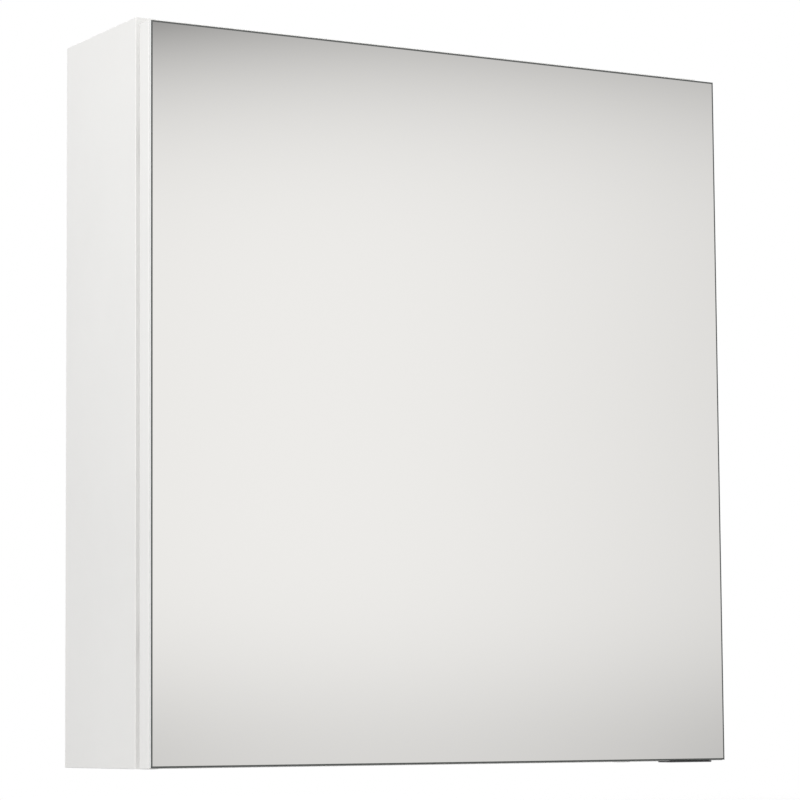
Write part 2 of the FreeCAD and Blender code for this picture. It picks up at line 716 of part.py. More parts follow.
def back_panel():
    """The thin back, with its upper corners cut away for the hooks."""
    reach = GROOVE_DEPTH - GROOVE_PLAY
    panel = block(
        (inner_left - reach, inner_right + reach),
        (back_front, back_rear),
        (inner_bottom - reach, inner_top + reach),
    )
    notch = block(
        (inner_left - reach, inner_left + HOUSING_WIDTH - HOUSING_WALL),
        (back_front, back_rear),
        (housing_bottom + HOUSING_WALL, inner_top + reach),
    )
    return panel.cut([notch, mirrored(notch)])


def carcass_edging():
    """Plastic edging on the front edges of the four carcass boards."""
    depth = (carcass_front, board_front)

    def upright_front(middle, direction):
        return same(middle.y, carcass_front) and same(abs(direction.z), 1)

    def level_front(middle, direction):
        return same(middle.y, carcass_front) and same(abs(direction.x), 1)

    left_strip = round_edges(block((left, inner_left), depth, (bottom, top)), edging_round, upright_front)
    right_strip = mirrored(left_strip).cut(buffer_bores())
    level_strips = []
    for z_range in ((inner_top, top), (bottom, inner_bottom)):
        strip = block((inner_left, inner_right), depth, z_range)
        level_strips.append(round_edges(strip, edging_round, level_front))
    return [left_strip, right_strip] + level_strips


# Door
pull_right = right - PULL_FROM_DOOR_EDGE
pull_left = pull_right - PULL_WIDTH
pull_middle = (pull_left + pull_right) / 2
pull_screw_places = [pull_middle - PULL_SCREW_SPACING / 2, pull_middle + PULL_SCREW_SPACING / 2]


def door_board():
    """The white door board inside its edging, bored for the cups and screws."""
    board = block(
        (left + EDGING, right - EDGING),
        (door_face, door_rear),
        (door_bottom + EDGING, door_top - EDGING),
    )
    cuts = []
    for z in hinge_heights.values():
        cuts.append(rod(Vector(cup_x, door_rear, z), FORWARD, CUP_RADIUS + CUP_PLAY, cup_depth + CUP_PLAY))
        for side in (-1, 1):
            seat = Vector(cup_screw_x, door_rear, z + side * CUP_SCREW_SPACING / 2)
            cuts.append(rod(seat, FORWARD, CUP_SCREW_RADIUS + SCREW_PLAY, CUP_SCREW_LENGTH + BORE_SPARE))
    for x in pull_screw_places:
        seat = Vector(x, door_rear, door_bottom + PULL_SCREW_HEIGHT)
        cuts.append(rod(seat, FORWARD, PULL_SCREW_RADIUS + SCREW_PLAY, PULL_SCREW_LENGTH + BORE_SPARE))
    return board.cut(cuts)


def door_edging():
    """Plastic edging on the door board's four edges, rounded outside."""
    depth = (door_face, door_rear)
    high = (door_bottom, door_top)
    wide = (left + EDGING, right - EDGING)
    upright = [
        (block((left, left + EDGING), depth, high), left),
        (block((right - EDGING, right), depth, high), right),
    ]
    level = [
        (block(wide, depth, (door_bottom, door_bottom + EDGING)), door_bottom),
        (block(wide, depth, (door_top - EDGING, door_top)), door_top),
    ]
    strips = []
    for strip, x in upright:
        strips.append(round_edges(strip, edging_round, lambda m, d: same(m.x, x) and same(abs(d.z), 1)))
    for strip, z in level:
        strips.append(round_edges(strip, edging_round, lambda m, d: same(m.z, z) and same(abs(d.x), 1)))
    return strips


def mirror_glass():
    """The mirror over the whole door, with a shallow ground arris round its front."""
    x_range = (left + MIRROR_INSET, right - MIRROR_INSET)
    z_range = (door_bottom + MIRROR_INSET, door_top - MIRROR_INSET)
    shoulder = mirror_face + MIRROR_FALL
    glass = block(x_range, (shoulder, mirror_rear), z_range)
    front_low = (x_range[0] + MIRROR_ARRIS, mirror_face, z_range[0] + MIRROR_ARRIS)
    front_high = (x_range[1] - MIRROR_ARRIS, shoulder, z_range[1] - MIRROR_ARRIS)
    arris_low = (z_range[0], x_range[0])
    arris_high = (z_range[1], x_range[1])
    ground_front = Part.makeWedge(*front_low, *arris_low, *front_high, *arris_high)
    return glass.fuse(ground_front).removeSplitter()


def mirror_adhesive():
    """The film that bonds the mirror to the door board."""
    inset = MIRROR_INSET + ADHESIVE_INSET
    return block(
        (left + inset, right - inset),
        (mirror_rear, door_face),
        (door_bottom + inset, door_top - inset),
    )


def finger_pull():
    """A bent metal strip: a leg behind the door and a lip under its lower edge."""
    width = (pull_left, pull_right)
    low = door_bottom - PULL_SHEET
    rear = door_rear + PULL_SHEET
    leg = block(width, (door_rear, rear), (low, door_bottom + PULL_LEG))
    lip = block(width, (mirror_face + PULL_SETBACK, rear), (low, door_bottom))
    pull = leg.fuse(lip).removeSplitter()
    pull = round_edges(pull, PULL_BEND, lambda m, d: same(abs(d.x), 1) and same(m.z, low))
    for x in pull_screw_places:
        start = Vector(x, door_rear, door_bottom + PULL_SCREW_HEIGHT)
        pull = pull.cut(rod(start, BACKWARD, PULL_SCREW_RADIUS + SCREW_PLAY, PULL_SHEET))
    return pull


def pull_screw(x):
    """A small screw through the pull's leg into the door board."""
    seat = Vector(x, door_rear + PULL_SHEET, door_bottom + PULL_SCREW_HEIGHT)
    shank = rod(seat, FORWARD, PULL_SCREW_RADIUS, PULL_SHEET + PULL_SCREW_LENGTH)
    return shank.fuse(rod(seat, BACKWARD, PULL_SCREW_HEAD_RADIUS, PULL_SCREW_HEAD))


def build():
    """Make every piece and write one file for each node."""
    os.makedirs("parts", exist_ok=True)

    save("left_side_panel", left_side())
    save("right_side_panel", mirrored(side_blank()).cut(buffer_bores()))
    save("top_panel", flat_panel((inner_top, top), top, -1))
    save("bottom_panel", flat_panel((bottom, inner_bottom), bottom, 1))
    save("back_panel", back_panel())
    save("carcass_edging", *carcass_edging())

    dowels = left_dowels()
    bolts = [left_bolt(z) for z in panel_middles]
    cams = [left_cam(z, inward) for z, inward in cam_faces]
    caps = [cam_cap(z, inward) for z, inward in cam_faces]
    fittings = {"dowels": dowels, "cam_bolts": bolts, "cam_locks": cams, "cam_caps": caps}
    for node, pieces in fittings.items():
        save(node, *pieces, *[mirrored(piece) for piece in pieces])

    pins = []
    for node, height in zip(("lower_shelf", "upper_shelf"), shelf_heights):
        save(node, glass_shelf(height))
        pins.extend(left_shelf_pin(y, height) for y in pin_rows)
    save("shelf_pins", *pins, *[mirrored(pin) for pin in pins])

    hanger_pieces = {
        "hanger_housing": left_housing(),
        "hanger_hook": left_hook(),
        "wall_plate": left_wall_plate(),
    }
    for name, piece in hanger_pieces.items():
        save("left_" + name, piece)
        save("right_" + name, mirrored(piece))
    save("hanger_screws", left_lift_screw(), mirrored(left_lift_screw()))

    for name, z in hinge_heights.items():
        save(name + "_hinge_plate", hinge_plate(z))
        save(name + "_hinge_arm", hinge_arm(z))
        save(name + "_hinge_cup", hinge_cup(z))
    heights = hinge_heights.values()
    save("hinge_pins", *[hinge_pin(z) for z in heights])
    save("hinge_springs", *[hinge_spring(z) for z in heights])
    save("hinge_plate_screws", *[screw for z in heights for screw in plate_screws(z)])
    save("hinge_arm_screws", *[screw for z in heights for screw in arm_screws(z)])
    save("hinge_cup_screws", *[screw for z in heights for screw in cup_screws(z)])

    save("door_board", door_board())
    save("door_edging", *door_edging())
    save("mirror_adhesive", mirror_adhesive())
    save("mirror_glass", mirror_glass())
    save("finger_pull", finger_pull())
    save("finger_pull_screws", *[pull_screw(x) for x in pull_screw_places])
    save("door_buffers", *[door_buffer(z) for z in buffer_heights])


build()
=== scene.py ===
import math
from typing import NamedTuple

import bmesh
import bpy
from mathutils import Matrix, Vector


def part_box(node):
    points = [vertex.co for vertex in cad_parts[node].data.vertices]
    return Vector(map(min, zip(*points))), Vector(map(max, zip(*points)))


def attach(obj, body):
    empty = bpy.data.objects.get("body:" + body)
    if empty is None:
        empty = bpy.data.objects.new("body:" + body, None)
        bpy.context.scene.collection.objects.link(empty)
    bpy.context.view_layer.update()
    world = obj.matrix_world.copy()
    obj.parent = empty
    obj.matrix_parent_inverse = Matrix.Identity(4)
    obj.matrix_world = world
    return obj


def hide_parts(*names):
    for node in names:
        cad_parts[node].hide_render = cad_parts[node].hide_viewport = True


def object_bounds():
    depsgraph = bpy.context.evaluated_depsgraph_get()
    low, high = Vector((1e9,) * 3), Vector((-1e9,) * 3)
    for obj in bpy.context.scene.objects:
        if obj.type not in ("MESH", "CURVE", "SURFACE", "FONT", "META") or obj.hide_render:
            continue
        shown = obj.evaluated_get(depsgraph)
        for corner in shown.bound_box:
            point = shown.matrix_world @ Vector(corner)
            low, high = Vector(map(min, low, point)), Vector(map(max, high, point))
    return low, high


bl_info = {
    "name": "Bathroom mirror cabinet",
    "version": (1, 0, 0),
    "blender": (4, 5, 0),
    "location": "View3D > Sidebar > Cabinet",
    "description": "Dresses the packed solids of a bathroom mirror cabinet",
    "category": "Object",
}

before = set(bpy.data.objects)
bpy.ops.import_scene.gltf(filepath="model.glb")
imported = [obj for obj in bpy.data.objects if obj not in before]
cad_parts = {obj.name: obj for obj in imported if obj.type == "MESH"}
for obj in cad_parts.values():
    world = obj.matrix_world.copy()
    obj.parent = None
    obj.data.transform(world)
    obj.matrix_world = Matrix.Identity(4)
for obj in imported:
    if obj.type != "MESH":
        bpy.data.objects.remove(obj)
cad_low, cad_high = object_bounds()

# Bodies, and the carcass boards with the names of the pieces that stand for them
CARCASS, DOOR, WALL_HANGERS = "carcass", "door", "wall_hangers"
SIDE_BOARDS = {"left_side_panel": "side_left", "right_side_panel": "side_right"}
LEVEL_BOARDS = {"top_panel": "panel_top", "bottom_panel": "panel_bottom"}

# Limits: lengths in metres, angles in radians, and shares of a face's normal that say where it looks
SAME_PLACE = 1e-6
TOUCHING = 1e-5
BOARD_EDGE = 0.01
FLAT = math.radians(0.5)
SMOOTH_BELOW = math.radians(30)
SHARP = math.radians(35)
FULL_TURN = 2 * math.pi
TURNED_TO = 0.5
SQUARE_TO = 0.9

# Material numbers of a piece with a finished face and bare or ground edges
FACE, BARE = 0, 1

# Steps in a round
EDGING_STEPS = 4
CORNER_STEPS = 8
SCREW_STEPS = 32
TURNED_STEPS = 48
STAGE_STEPS = 64

# Outlines of turned pieces from the crown down, as shares of their radius and height
CAP_CROWN = ((0, 1), (0.6, 0.97))
CAP_GROOVE = ((0.64, 0.74), (0.7, 0.74))
CAP_RIM = ((0.74, 0.93), (0.9, 0.76), (0.97, 0.5), (1, 0.2), (1, 0), (0, 0))
BUFFER_CROWN = ((0, 1), (0.5, 1), (0.72, 0.96), (0.88, 0.85))
BUFFER_SIDE = ((0.97, 0.66), (1, 0.4), (1, 0.06), (0.94, 0))
BUFFER_STEM = 0.55

# Shares of a screw head's radius and height, and of its shank's length and radius
HEAD_FLAT = 0.74
HEAD_SHOULDER = 0.93
HEAD_SHOULDER_HEIGHT = 0.82
HEAD_SIDE_HEIGHT = 0.5
RECESS_WING = 0.5
RECESS_HALF_SLOT = 0.12
RECESS_DEPTH = 0.7
RECESS_FLOOR = 0.6
SHANK_STRAIGHT = 0.8
SHANK_TIP = 0.3


class ScrewKind(NamedTuple):
    """Like screws: node, piece, body, where the heads look, a head's height and a shank's radius."""

    node: str
    name: str
    body: str
    direction: Vector
    head: float
    shank: float


RIGHTWARD = Vector((1, 0, 0))
REARWARD = Vector((0, 1, 0))
DOWNWARD = Vector((0, 0, -1))
SCREW_KINDS = (
    ScrewKind("hinge_plate_screws", "plate_screws", CARCASS, RIGHTWARD, head=0.002, shank=0.003),
    ScrewKind("hinge_arm_screws", "arm_screws", CARCASS, RIGHTWARD, head=0.0022, shank=0.0025),
    ScrewKind("hinge_cup_screws", "cup_screws", DOOR, REARWARD, head=0.0016, shank=0.00175),
    ScrewKind("finger_pull_screws", "pull_screws", DOOR, REARWARD, head=0.0012, shank=0.0015),
    ScrewKind("hanger_screws", "lift_screws", CARCASS, DOWNWARD, head=0.003, shank=0.0025),
)

# Finishes: the range that most noise keeps to, and shades that stay the same on any cabinet
NOISE_LOW, NOISE_HIGH = 0.3, 0.7
TEARS_PER_FLAKE = 1.5
GLASS_IOR = 1.52
SOFT_PLASTIC_IOR = 1.45
WHITE = (1, 1, 1)
BLACK = (0, 0, 0)
RIM_DARK, RIM_LIGHT = (0.81, 0.825, 0.815), (0.86, 0.865, 0.86)
BACKING_DARK, BACKING_LIGHT = (0.22, 0.24, 0.26), (0.28, 0.3, 0.32)
BUFFER_DARK, BUFFER_LIGHT = (0.78, 0.79, 0.77), (0.84, 0.85, 0.83)
BEECH_DARK, BEECH_LIGHT = (0.5, 0.34, 0.19), (0.72, 0.53, 0.33)
GLUE_DARK, GLUE_LIGHT = (0.7, 0.7, 0.69), (0.8, 0.8, 0.79)

# Lamps, camera and the share of the floor that doesn't fade
KEY_PLACE, KEY_SIZE = (-2.0, -1.6, 1.2), 1.6
FILL_PLACE, FILL_SIZE = (2.4, -0.6, 0.5), 1.6
REAR_PLACE, REAR_SIZE = (0.6, 2.4, -0.15), 1.0
CAMERA_PLACE = (-1.2366, -2.2367, -0.4318)
CAMERA_YAW, CAMERA_PITCH, CAMERA_ROLL = (math.radians(angle) for angle in (29.77, 5.73, -0.43))
SENSOR_WIDTH = 36.0
FLOOR_FULL_SHARE = 0.4

# Sweep that the mirror reflects: its extent, then where and how far its light falls off
SWEEP_BOTTOM, SWEEP_TOP = -1.2, 1.0
SWEEP_HALF_TURN = math.radians(85)
SWEEP_INNER, SWEEP_INNER_TO_OUTER = 0.59, 0.67
SWEEP_PEAK, SWEEP_SIDE_DIM = 0.27, 0.25
SWEEP_MIDDLE, SWEEP_HALF_HEIGHT = 0.015, 0.497
SWEEP_HIGHEST, SWEEP_HIGH_POWER = 1.08, 4.5
SWEEP_FOOT, SWEEP_FOOT_SPREAD = 1.05, 0.3
SWEEP_DIM_LEAST_AT = 0.55
SWEEP_HIGH_DIM, SWEEP_HIGH_DIM_RISE = 0.51, 0.65
SWEEP_FOOT_DIM, SWEEP_FOOT_DIM_RISE = 0.2, 0.3


# Sizes and colours that a user would change
class CabinetBoardValues(bpy.types.PropertyGroup):
    """Boards, edging and back panel."""

    arris: bpy.props.FloatProperty(
        name="Board arris",
        description="Width broken off the boards' edges",
        default=0.00025,
        unit="LENGTH",
    )
    edging_round: bpy.props.FloatProperty(
        name="Edging round",
        description="Radius of the edging's outer edges",
        default=0.0004,
        unit="LENGTH",
    )
    melamine: bpy.props.FloatVectorProperty(
        name="Melamine",
        description="Colour of the boards' facing",
        default=(0.83, 0.825, 0.81),
        subtype="COLOR",
    )
    edging: bpy.props.FloatVectorProperty(
        name="Edging",
        description="Colour of the plastic edging",
        default=(0.84, 0.835, 0.82),
        subtype="COLOR",
    )
    chip: bpy.props.FloatVectorProperty(
        name="Chipboard",
        description="Colour of bare particle board",
        default=(0.55, 0.41, 0.26),
        subtype="COLOR",
    )
    hardboard: bpy.props.FloatVectorProperty(
        name="Hardboard",
        description="Colour of the bare rear of the back",
        default=(0.32, 0.2, 0.11),
        subtype="COLOR",
    )


class CabinetDoorValues(bpy.types.PropertyGroup):
    """Mirror and finger pull."""

    mirror_arris: bpy.props.FloatProperty(
        name="Mirror arris",
        description="Width ground off the mirror's front edges",
        default=0.0018,
        unit="LENGTH",
    )
    mirror_fall: bpy.props.FloatProperty(
        name="Mirror fall",
        description="Depth ground off the mirror's front edges",
        default=0.00015,
        unit="LENGTH",
    )
    mirror_seam: bpy.props.FloatProperty(
        name="Mirror seam",
        description="Width broken off the mirror's rear edges",
        default=0.0003,
        unit="LENGTH",
    )
    silver: bpy.props.FloatVectorProperty(
        name="Silver",
        description="Colour that the mirror reflects",
        default=(0.93, 0.927, 0.922),
        subtype="COLOR",
    )
    # Dark colour painted on the mirror's arris: a painted reflection of dark surroundings, not the glass's
    # own colour
    arris_reflection_shade: bpy.props.FloatVectorProperty(
        name="Ground arris",
        description="Colour of the mirror's arris",
        default=(0.115, 0.12, 0.117),
        subtype="COLOR",
    )
    pull: bpy.props.FloatVectorProperty(
        name="Finger pull",
        description="Colour of the anodised pull",
        default=(0.09, 0.09, 0.095),
        subtype="COLOR",
    )
    pull_arris: bpy.props.FloatProperty(
        name="Pull arris",
        description="Width broken off the pull's edges",
        default=0.00025,
        unit="LENGTH",
    )


class CabinetFittingValues(bpy.types.PropertyGroup):
    """Shelves, hinges, hangers and screws."""

    glass_arris: bpy.props.FloatProperty(
        name="Shelf arris",
        description="Width ground off the shelves' edges",
        default=0.0005,
        unit="LENGTH",
    )
    glass_corner: bpy.props.FloatProperty(
        name="Shelf corner",
        description="Radius of the shelves' front corners",
        default=0.004,
        unit="LENGTH",
    )
    metal_arris: bpy.props.FloatProperty(
        name="Metal arris",
        description="Width broken off stamped metal edges",
        default=0.0002,
        unit="LENGTH",
    )
    panel_inset: bpy.props.FloatProperty(
        name="Housing border",
        description="Border round the housings' sunk panel",
        default=0.003,
        unit="LENGTH",
    )
    panel_depth: bpy.props.FloatProperty(
        name="Housing panel",
        description="Depth of the housings' sunk panel",
        default=0.0005,
        unit="LENGTH",
    )
    nickel: bpy.props.FloatVectorProperty(
        name="Nickel",
        description="Colour of the hinges' plating",
        default=(0.54, 0.52, 0.485),
        subtype="COLOR",
    )
    zinc: bpy.props.FloatVectorProperty(
        name="Zinc",
        description="Colour of zinc plating",
        default=(0.54, 0.56, 0.59),
        subtype="COLOR",
    )
    plastic: bpy.props.FloatVectorProperty(
        name="Plastic",
        description="Colour of moulded plastic",
        default=(0.82, 0.82, 0.81),
        subtype="COLOR",
    )
    glass: bpy.props.FloatVectorProperty(
        name="Shelf glass",
        description="Colour seen through a shelf's face",
        default=(0.95, 0.985, 0.97),
        subtype="COLOR",
    )
    glass_edge: bpy.props.FloatVectorProperty(
        name="Shelf edge",
        description="Colour of a shelf's ground edge",
        default=(0.46, 0.73, 0.63),
        subtype="COLOR",
    )


class CabinetStageValues(bpy.types.PropertyGroup):
    """Floor, light and camera."""

    floor_drop: bpy.props.FloatProperty(
        name="Floor drop",
        description="Height of the cabinet above the floor",
        default=0.06,
        unit="LENGTH",
    )
    floor_radius: bpy.props.FloatProperty(
        name="Floor radius",
        description="Distance at which the floor has faded out",
        default=1.9,
        unit="LENGTH",
    )
    floor_colour: bpy.props.FloatVectorProperty(
        name="Floor",
        description="Colour of the floor",
        default=(0.42, 0.42, 0.42),
        subtype="COLOR",
    )
    floor_glow: bpy.props.FloatProperty(
        name="Floor glow",
        description="What lifts the unshaded floor to white where it is looked at",
        default=0.6,
    )
    sweep_radius: bpy.props.FloatProperty(
        name="Sweep radius",
        description="Distance of the sweep that the mirror reflects",
        default=2.0,
        unit="LENGTH",
    )
    sweep_colour: bpy.props.FloatVectorProperty(
        name="Sweep",
        description="Colour of the sweep",
        default=(1.0, 0.99, 0.97),
        subtype="COLOR",
    )
    sweep_glow: bpy.props.FloatProperty(
        name="Sweep glow",
        description="Brightness of the sweep",
        default=0.91,
    )
    ambient: bpy.props.FloatProperty(
        name="Ambient",
        description="Strength of the light from all round",
        default=0.28,
    )
    key: bpy.props.FloatProperty(
        name="Key light",
        description="Power of the large left lamp in watts",
        default=76.5,
        unit="POWER",
    )
    fill: bpy.props.FloatProperty(
        name="Fill light",
        description="Power of the right lamp in watts",
        default=32.0,
        unit="POWER",
    )
    rear: bpy.props.FloatProperty(
        name="Rear light",
        description="Power of the rear lamp in watts",
        default=34.0,
        unit="POWER",
    )
    lens: bpy.props.FloatProperty(
        name="Lens",
        description="Focal length in millimetres",
        default=144.5,
        unit="CAMERA",
    )


# Making and placing pieces
def flat_copy(node):
    """A bmesh of a CAD node with its loose triangles joined into flat faces."""
    bm = bmesh.new()
    bm.from_mesh(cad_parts[node].data)
    bmesh.ops.remove_doubles(bm, verts=bm.verts, dist=SAME_PLACE)
    bmesh.ops.dissolve_degenerate(bm, dist=SAME_PLACE, edges=bm.edges)
    bmesh.ops.dissolve_limit(bm, angle_limit=FLAT, verts=bm.verts, edges=bm.edges)
    return bm


def block(low, high):
    """A bmesh of a box between two corners."""
    bm = bmesh.new()
    bmesh.ops.create_cube(bm, size=1.0)
    bmesh.ops.scale(bm, vec=high - low, verts=bm.verts)
    bmesh.ops.translate(bm, vec=(low + high) / 2, verts=bm.verts)
    return bm


def turned(profile):
    """A bmesh turned about Z from (radius, height) points that start and end on the axis."""
    bm = bmesh.new()
    points = [bm.verts.new((radius, 0, height)) for radius, height in profile]
    lines = [bm.edges.new(pair) for pair in zip(points, points[1:])]
    bmesh.ops.spin(
        bm,
        geom=points + lines,
        cent=(0, 0, 0),
        axis=(0, 0, 1),
        angle=FULL_TURN,
        steps=TURNED_STEPS,
        use_merge=True,
    )
    bmesh.ops.remove_doubles(bm, verts=bm.verts, dist=SAME_PLACE)
    bmesh.ops.recalc_face_normals(bm, faces=bm.faces)
    return bm


def joined(shapes):
    """One bmesh that holds several, each of which is used up."""
    whole = bmesh.new()
    for shape in shapes:
        mesh = bpy.data.meshes.new("shape")
        shape.to_mesh(mesh)
        shape.free()
        whole.from_mesh(mesh)
        bpy.data.meshes.remove(mesh)
    return whole


def put(bm, place, turn):
    """Turn a bmesh made at the origin and move it to its place."""
    bmesh.ops.transform(bm, matrix=Matrix.Translation(place) @ turn, verts=bm.verts)


def bevel(bm, edges, width, segments=1):
    """Break or round edges."""
    bmesh.ops.bevel(
        bm,
        geom=edges,
        offset=width,
        offset_type="OFFSET",
        segments=segments,
        profile=0.5,
        affect="EDGES",
        material=-1,
        clamp_overlap=False,
    )


def outer_edges(bm, shortest=0.0):
    """Sharp edges that stand out, from a shortest length on."""
    return [
        edge
        for edge in bm.edges
        if edge.is_manifold and edge.calc_face_angle_signed() > SHARP and edge.calc_length() > shortest
    ]


def edges_where(bm, test):
    """Edges whose middle passes a test."""
    return [edge for edge in bm.edges if test((edge.verts[0].co + edge.verts[1].co) / 2)]


def near(first, second):
    """Whether two coordinates are the same place."""
    return abs(first - second) < TOUCHING


def paint(bm, chooser):
    """Give each face the material number that the chooser says."""
    for face in bm.faces:
        face.material_index = chooser(face)


def solid_boxes(node):
    """Lowest and highest corner of each separate solid in a CAD node, in order of place."""
    bm = flat_copy(node)
    waiting = set(bm.verts)
    boxes = []
    while waiting:
        group = set()
        ahead = [waiting.pop()]
        while ahead:
            vert = ahead.pop()
            group.add(vert)
            beside = {edge.other_vert(vert) for edge in vert.link_edges} & waiting
            waiting -= beside
            ahead.extend(beside)
        places = [[vert.co[axis] for vert in group] for axis in range(3)]
        boxes.append((Vector(map(min, places)), Vector(map(max, places))))
    bm.free()
    return sorted(boxes, key=lambda corners: tuple(corners[0]))


def shade_curves(bm, smooth_below):
    """Shade curved faces smooth and flat ones flat."""
    for edge in bm.edges:
        edge.smooth = edge.calc_face_angle(math.pi) < smooth_below
    for face in bm.faces:
        face.smooth = any(FLAT < edge.calc_face_angle(0) < smooth_below for edge in face.edges)


def add_piece(name, bm, materials, body, slot, *nodes, smooth_below=SMOOTH_BELOW):
    """Turn a bmesh into a piece that rides on a body and stands for CAD nodes."""
    shade_curves(bm, smooth_below)
    mesh = bpy.data.meshes.new(name)
    bm.to_mesh(mesh)
    bm.free()
    for material in materials:
        mesh.materials.append(material)
    piece = bpy.data.objects.new(name, mesh)
    piece.modifiers.new("Even shading", "WEIGHTED_NORMAL").keep_sharp = True
    bpy.context.scene.collection.objects.link(piece)
    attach(piece, body)
    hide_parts(*nodes)
    return piece


def dress_node(node, material):
    """Give a CAD node that stays in view its finish."""
    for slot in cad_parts[node].material_slots:
        slot.material = material


# Finishes
def arithmetic(tree, operation, *inputs):
    """A math node on sockets and numbers."""
    node = tree.nodes.new("ShaderNodeMath")
    node.operation = operation
    for socket, value in zip(node.inputs, inputs):
        if isinstance(value, bpy.types.NodeSocket):
            tree.links.new(value, socket)
        else:
            socket.default_value = value
    return node.outputs["Value"]


class Finish:
    """A material being made, with short ways to add nodes and join them."""

    def __init__(self, name):
        self.material = bpy.data.materials.new(name)
        self.material.use_nodes = True
        self.nodes = self.material.node_tree.nodes
        self.links = self.material.node_tree.links
        self.shader = self.nodes["Principled BSDF"]
        self.place = self.nodes.new("ShaderNodeTexCoord").outputs["Object"]

    def set(self, **values):
        """Set the shader's own sockets, with _ for a space in the name."""
        for name, value in values.items():
            socket = self.shader.inputs[name.replace("_", " ")]
            if socket.type == "RGBA":
                value = (*value, 1.0)
            socket.default_value = value
        return self

    def stretched(self, stretch):
        """Object coordinates scaled along each axis."""
        mapping = self.nodes.new("ShaderNodeMapping")
        mapping.inputs["Scale"].default_value = stretch
        self.links.new(self.place, mapping.inputs["Vector"])
        return mapping.outputs["Vector"]

    def noise(self, scale, detail=3, stretch=(1, 1, 1)):
        """Cloudy noise, with the scale in grains per metre."""
        node = self.nodes.new("ShaderNodeTexNoise")
        node.inputs["Scale"].default_value = scale
        node.inputs["Detail"].default_value = detail
        self.links.new(self.stretched(stretch), node.inputs["Vector"])
        return node.outputs["Fac"]

    def flakes(self, scale, ragged):
        """Flakes of random shades, with the scale in flakes per metre and the raggedness in metres."""
        tear = self.nodes.new("ShaderNodeTexNoise")
        tear.inputs["Scale"].default_value = scale * TEARS_PER_FLAKE
        self.links.new(self.place, tear.inputs["Vector"])
        torn = self.nodes.new("ShaderNodeVectorMath")
        torn.operation = "MULTIPLY_ADD"
        torn.inputs[1].default_value = (ragged, ragged, ragged)
        self.links.new(tear.outputs["Color"], torn.inputs[0])
        self.links.new(self.place, torn.inputs[2])
        node = self.nodes.new("ShaderNodeTexVoronoi")
        node.inputs["Scale"].default_value = scale
        self.links.new(torn.outputs["Vector"], node.inputs["Vector"])
        split = self.nodes.new("ShaderNodeSeparateColor")
        self.links.new(node.outputs["Color"], split.inputs["Color"])
        return split.outputs["Red"]

    def ridges(self, scale, direction):
        """Parallel ridges across an axis, with the scale in bands per metre."""
        node = self.nodes.new("ShaderNodeTexWave")
        node.bands_direction = direction
        node.inputs["Scale"].default_value = scale
        self.links.new(self.place, node.inputs["Vector"])
        return node.outputs["Fac"]

    def math(self, operation, *inputs):
        """Arithmetic on patterns and numbers."""
        return arithmetic(self.material.node_tree, operation, *inputs)

    def mixed(self, *layers):
        """Add up patterns, as (pattern, share) layers."""
        total = 0
        for pattern, share in layers:
            total = self.math("MULTIPLY_ADD", pattern, share, total)
        return total

    def feed(self, name, pattern):
        """Join a pattern to one of the shader's sockets."""
        self.links.new(pattern, self.shader.inputs[name])
        return self

    def colours(self, pattern, *stops):
        """Run a pattern through colours into the base colour, as (position, colour) stops."""
        node = self.nodes.new("ShaderNodeValToRGB")
        ramp = node.color_ramp.elements
        while len(ramp) < len(stops):
            ramp.new(0.5)
        for element, (position, colour) in zip(ramp, stops):
            element.position = position
            element.color = (*colour, 1.0)
        self.links.new(pattern, node.inputs["Fac"])
        return self.feed("Base Color", node.outputs["Color"])

    def mottle(self, pattern, dark, light):
        """Let a noise move the base colour between two shades."""
        return self.colours(pattern, (NOISE_LOW, dark), (NOISE_HIGH, light))

    def roughness(self, pattern, low, high):
        """Let a noise move the roughness between two values."""
        node = self.nodes.new("ShaderNodeMapRange")
        node.inputs["From Min"].default_value = NOISE_LOW
        node.inputs["From Max"].default_value = NOISE_HIGH
        node.inputs["To Min"].default_value = low
        node.inputs["To Max"].default_value = high
        self.links.new(pattern, node.inputs["Value"])
        return self.feed("Roughness", node.outputs["Result"])

    def bump(self, pattern, height, strength):
        """Raise the surface by a pattern, with the height in metres, over any bump it already has."""
        node = self.nodes.new("ShaderNodeBump")
        node.inputs["Strength"].default_value = strength
        node.inputs["Distance"].default_value = height
        self.links.new(pattern, node.inputs["Height"])
        before = self.shader.inputs["Normal"].links
        if before:
            self.links.new(before[0].from_socket, node.inputs["Normal"])
        return self.feed("Normal", node.outputs["Normal"])


def shade(colour, factor):
    """A colour made lighter or darker."""
    return tuple(min(1.0, part * factor) for part in colour)


def white_melamine(colour):
    """Satin melamine facing with a fine pearl grain."""
    finish = Finish("white_melamine")
    finish.mottle(finish.noise(scale=9, detail=4), shade(colour, 0.985), shade(colour, 1.01))
    finish.roughness(finish.noise(scale=60), low=0.34, high=0.44)
    finish.bump(finish.noise(scale=1400, detail=2), height=0.00002, strength=0.5)
    return finish.material


def white_edging(colour):
    """Smooth plastic edging, a little glossier than the boards."""
    finish = Finish("white_edging")
    finish.mottle(finish.noise(scale=14, detail=4), shade(colour, 0.985), shade(colour, 1.01))
    finish.roughness(finish.noise(scale=80), low=0.3, high=0.34)
    finish.bump(finish.noise(scale=700, detail=2), height=0.00001, strength=0.2)
    return finish.material


def bare_chipboard(colour):
    """Sawn particle board: pressed flakes with fibres and dark gaps."""
    finish = Finish("bare_chipboard")
    flakes = finish.flakes(scale=650, ragged=0.0007)
    fibres = finish.noise(scale=1800, detail=8)
    finish.colours(
        finish.mixed((flakes, 0.4), (fibres, 0.6)),
        (0.22, shade(colour, 0.6)),
        (0.4, shade(colour, 0.92)),
        (0.55, colour),
        (0.75, shade(colour, 1.25)),
    )
    finish.set(Roughness=0.85, Specular_IOR_Level=0.25)
    finish.bump(finish.noise(scale=1100, detail=4), height=0.0002, strength=0.7)
    return finish.material


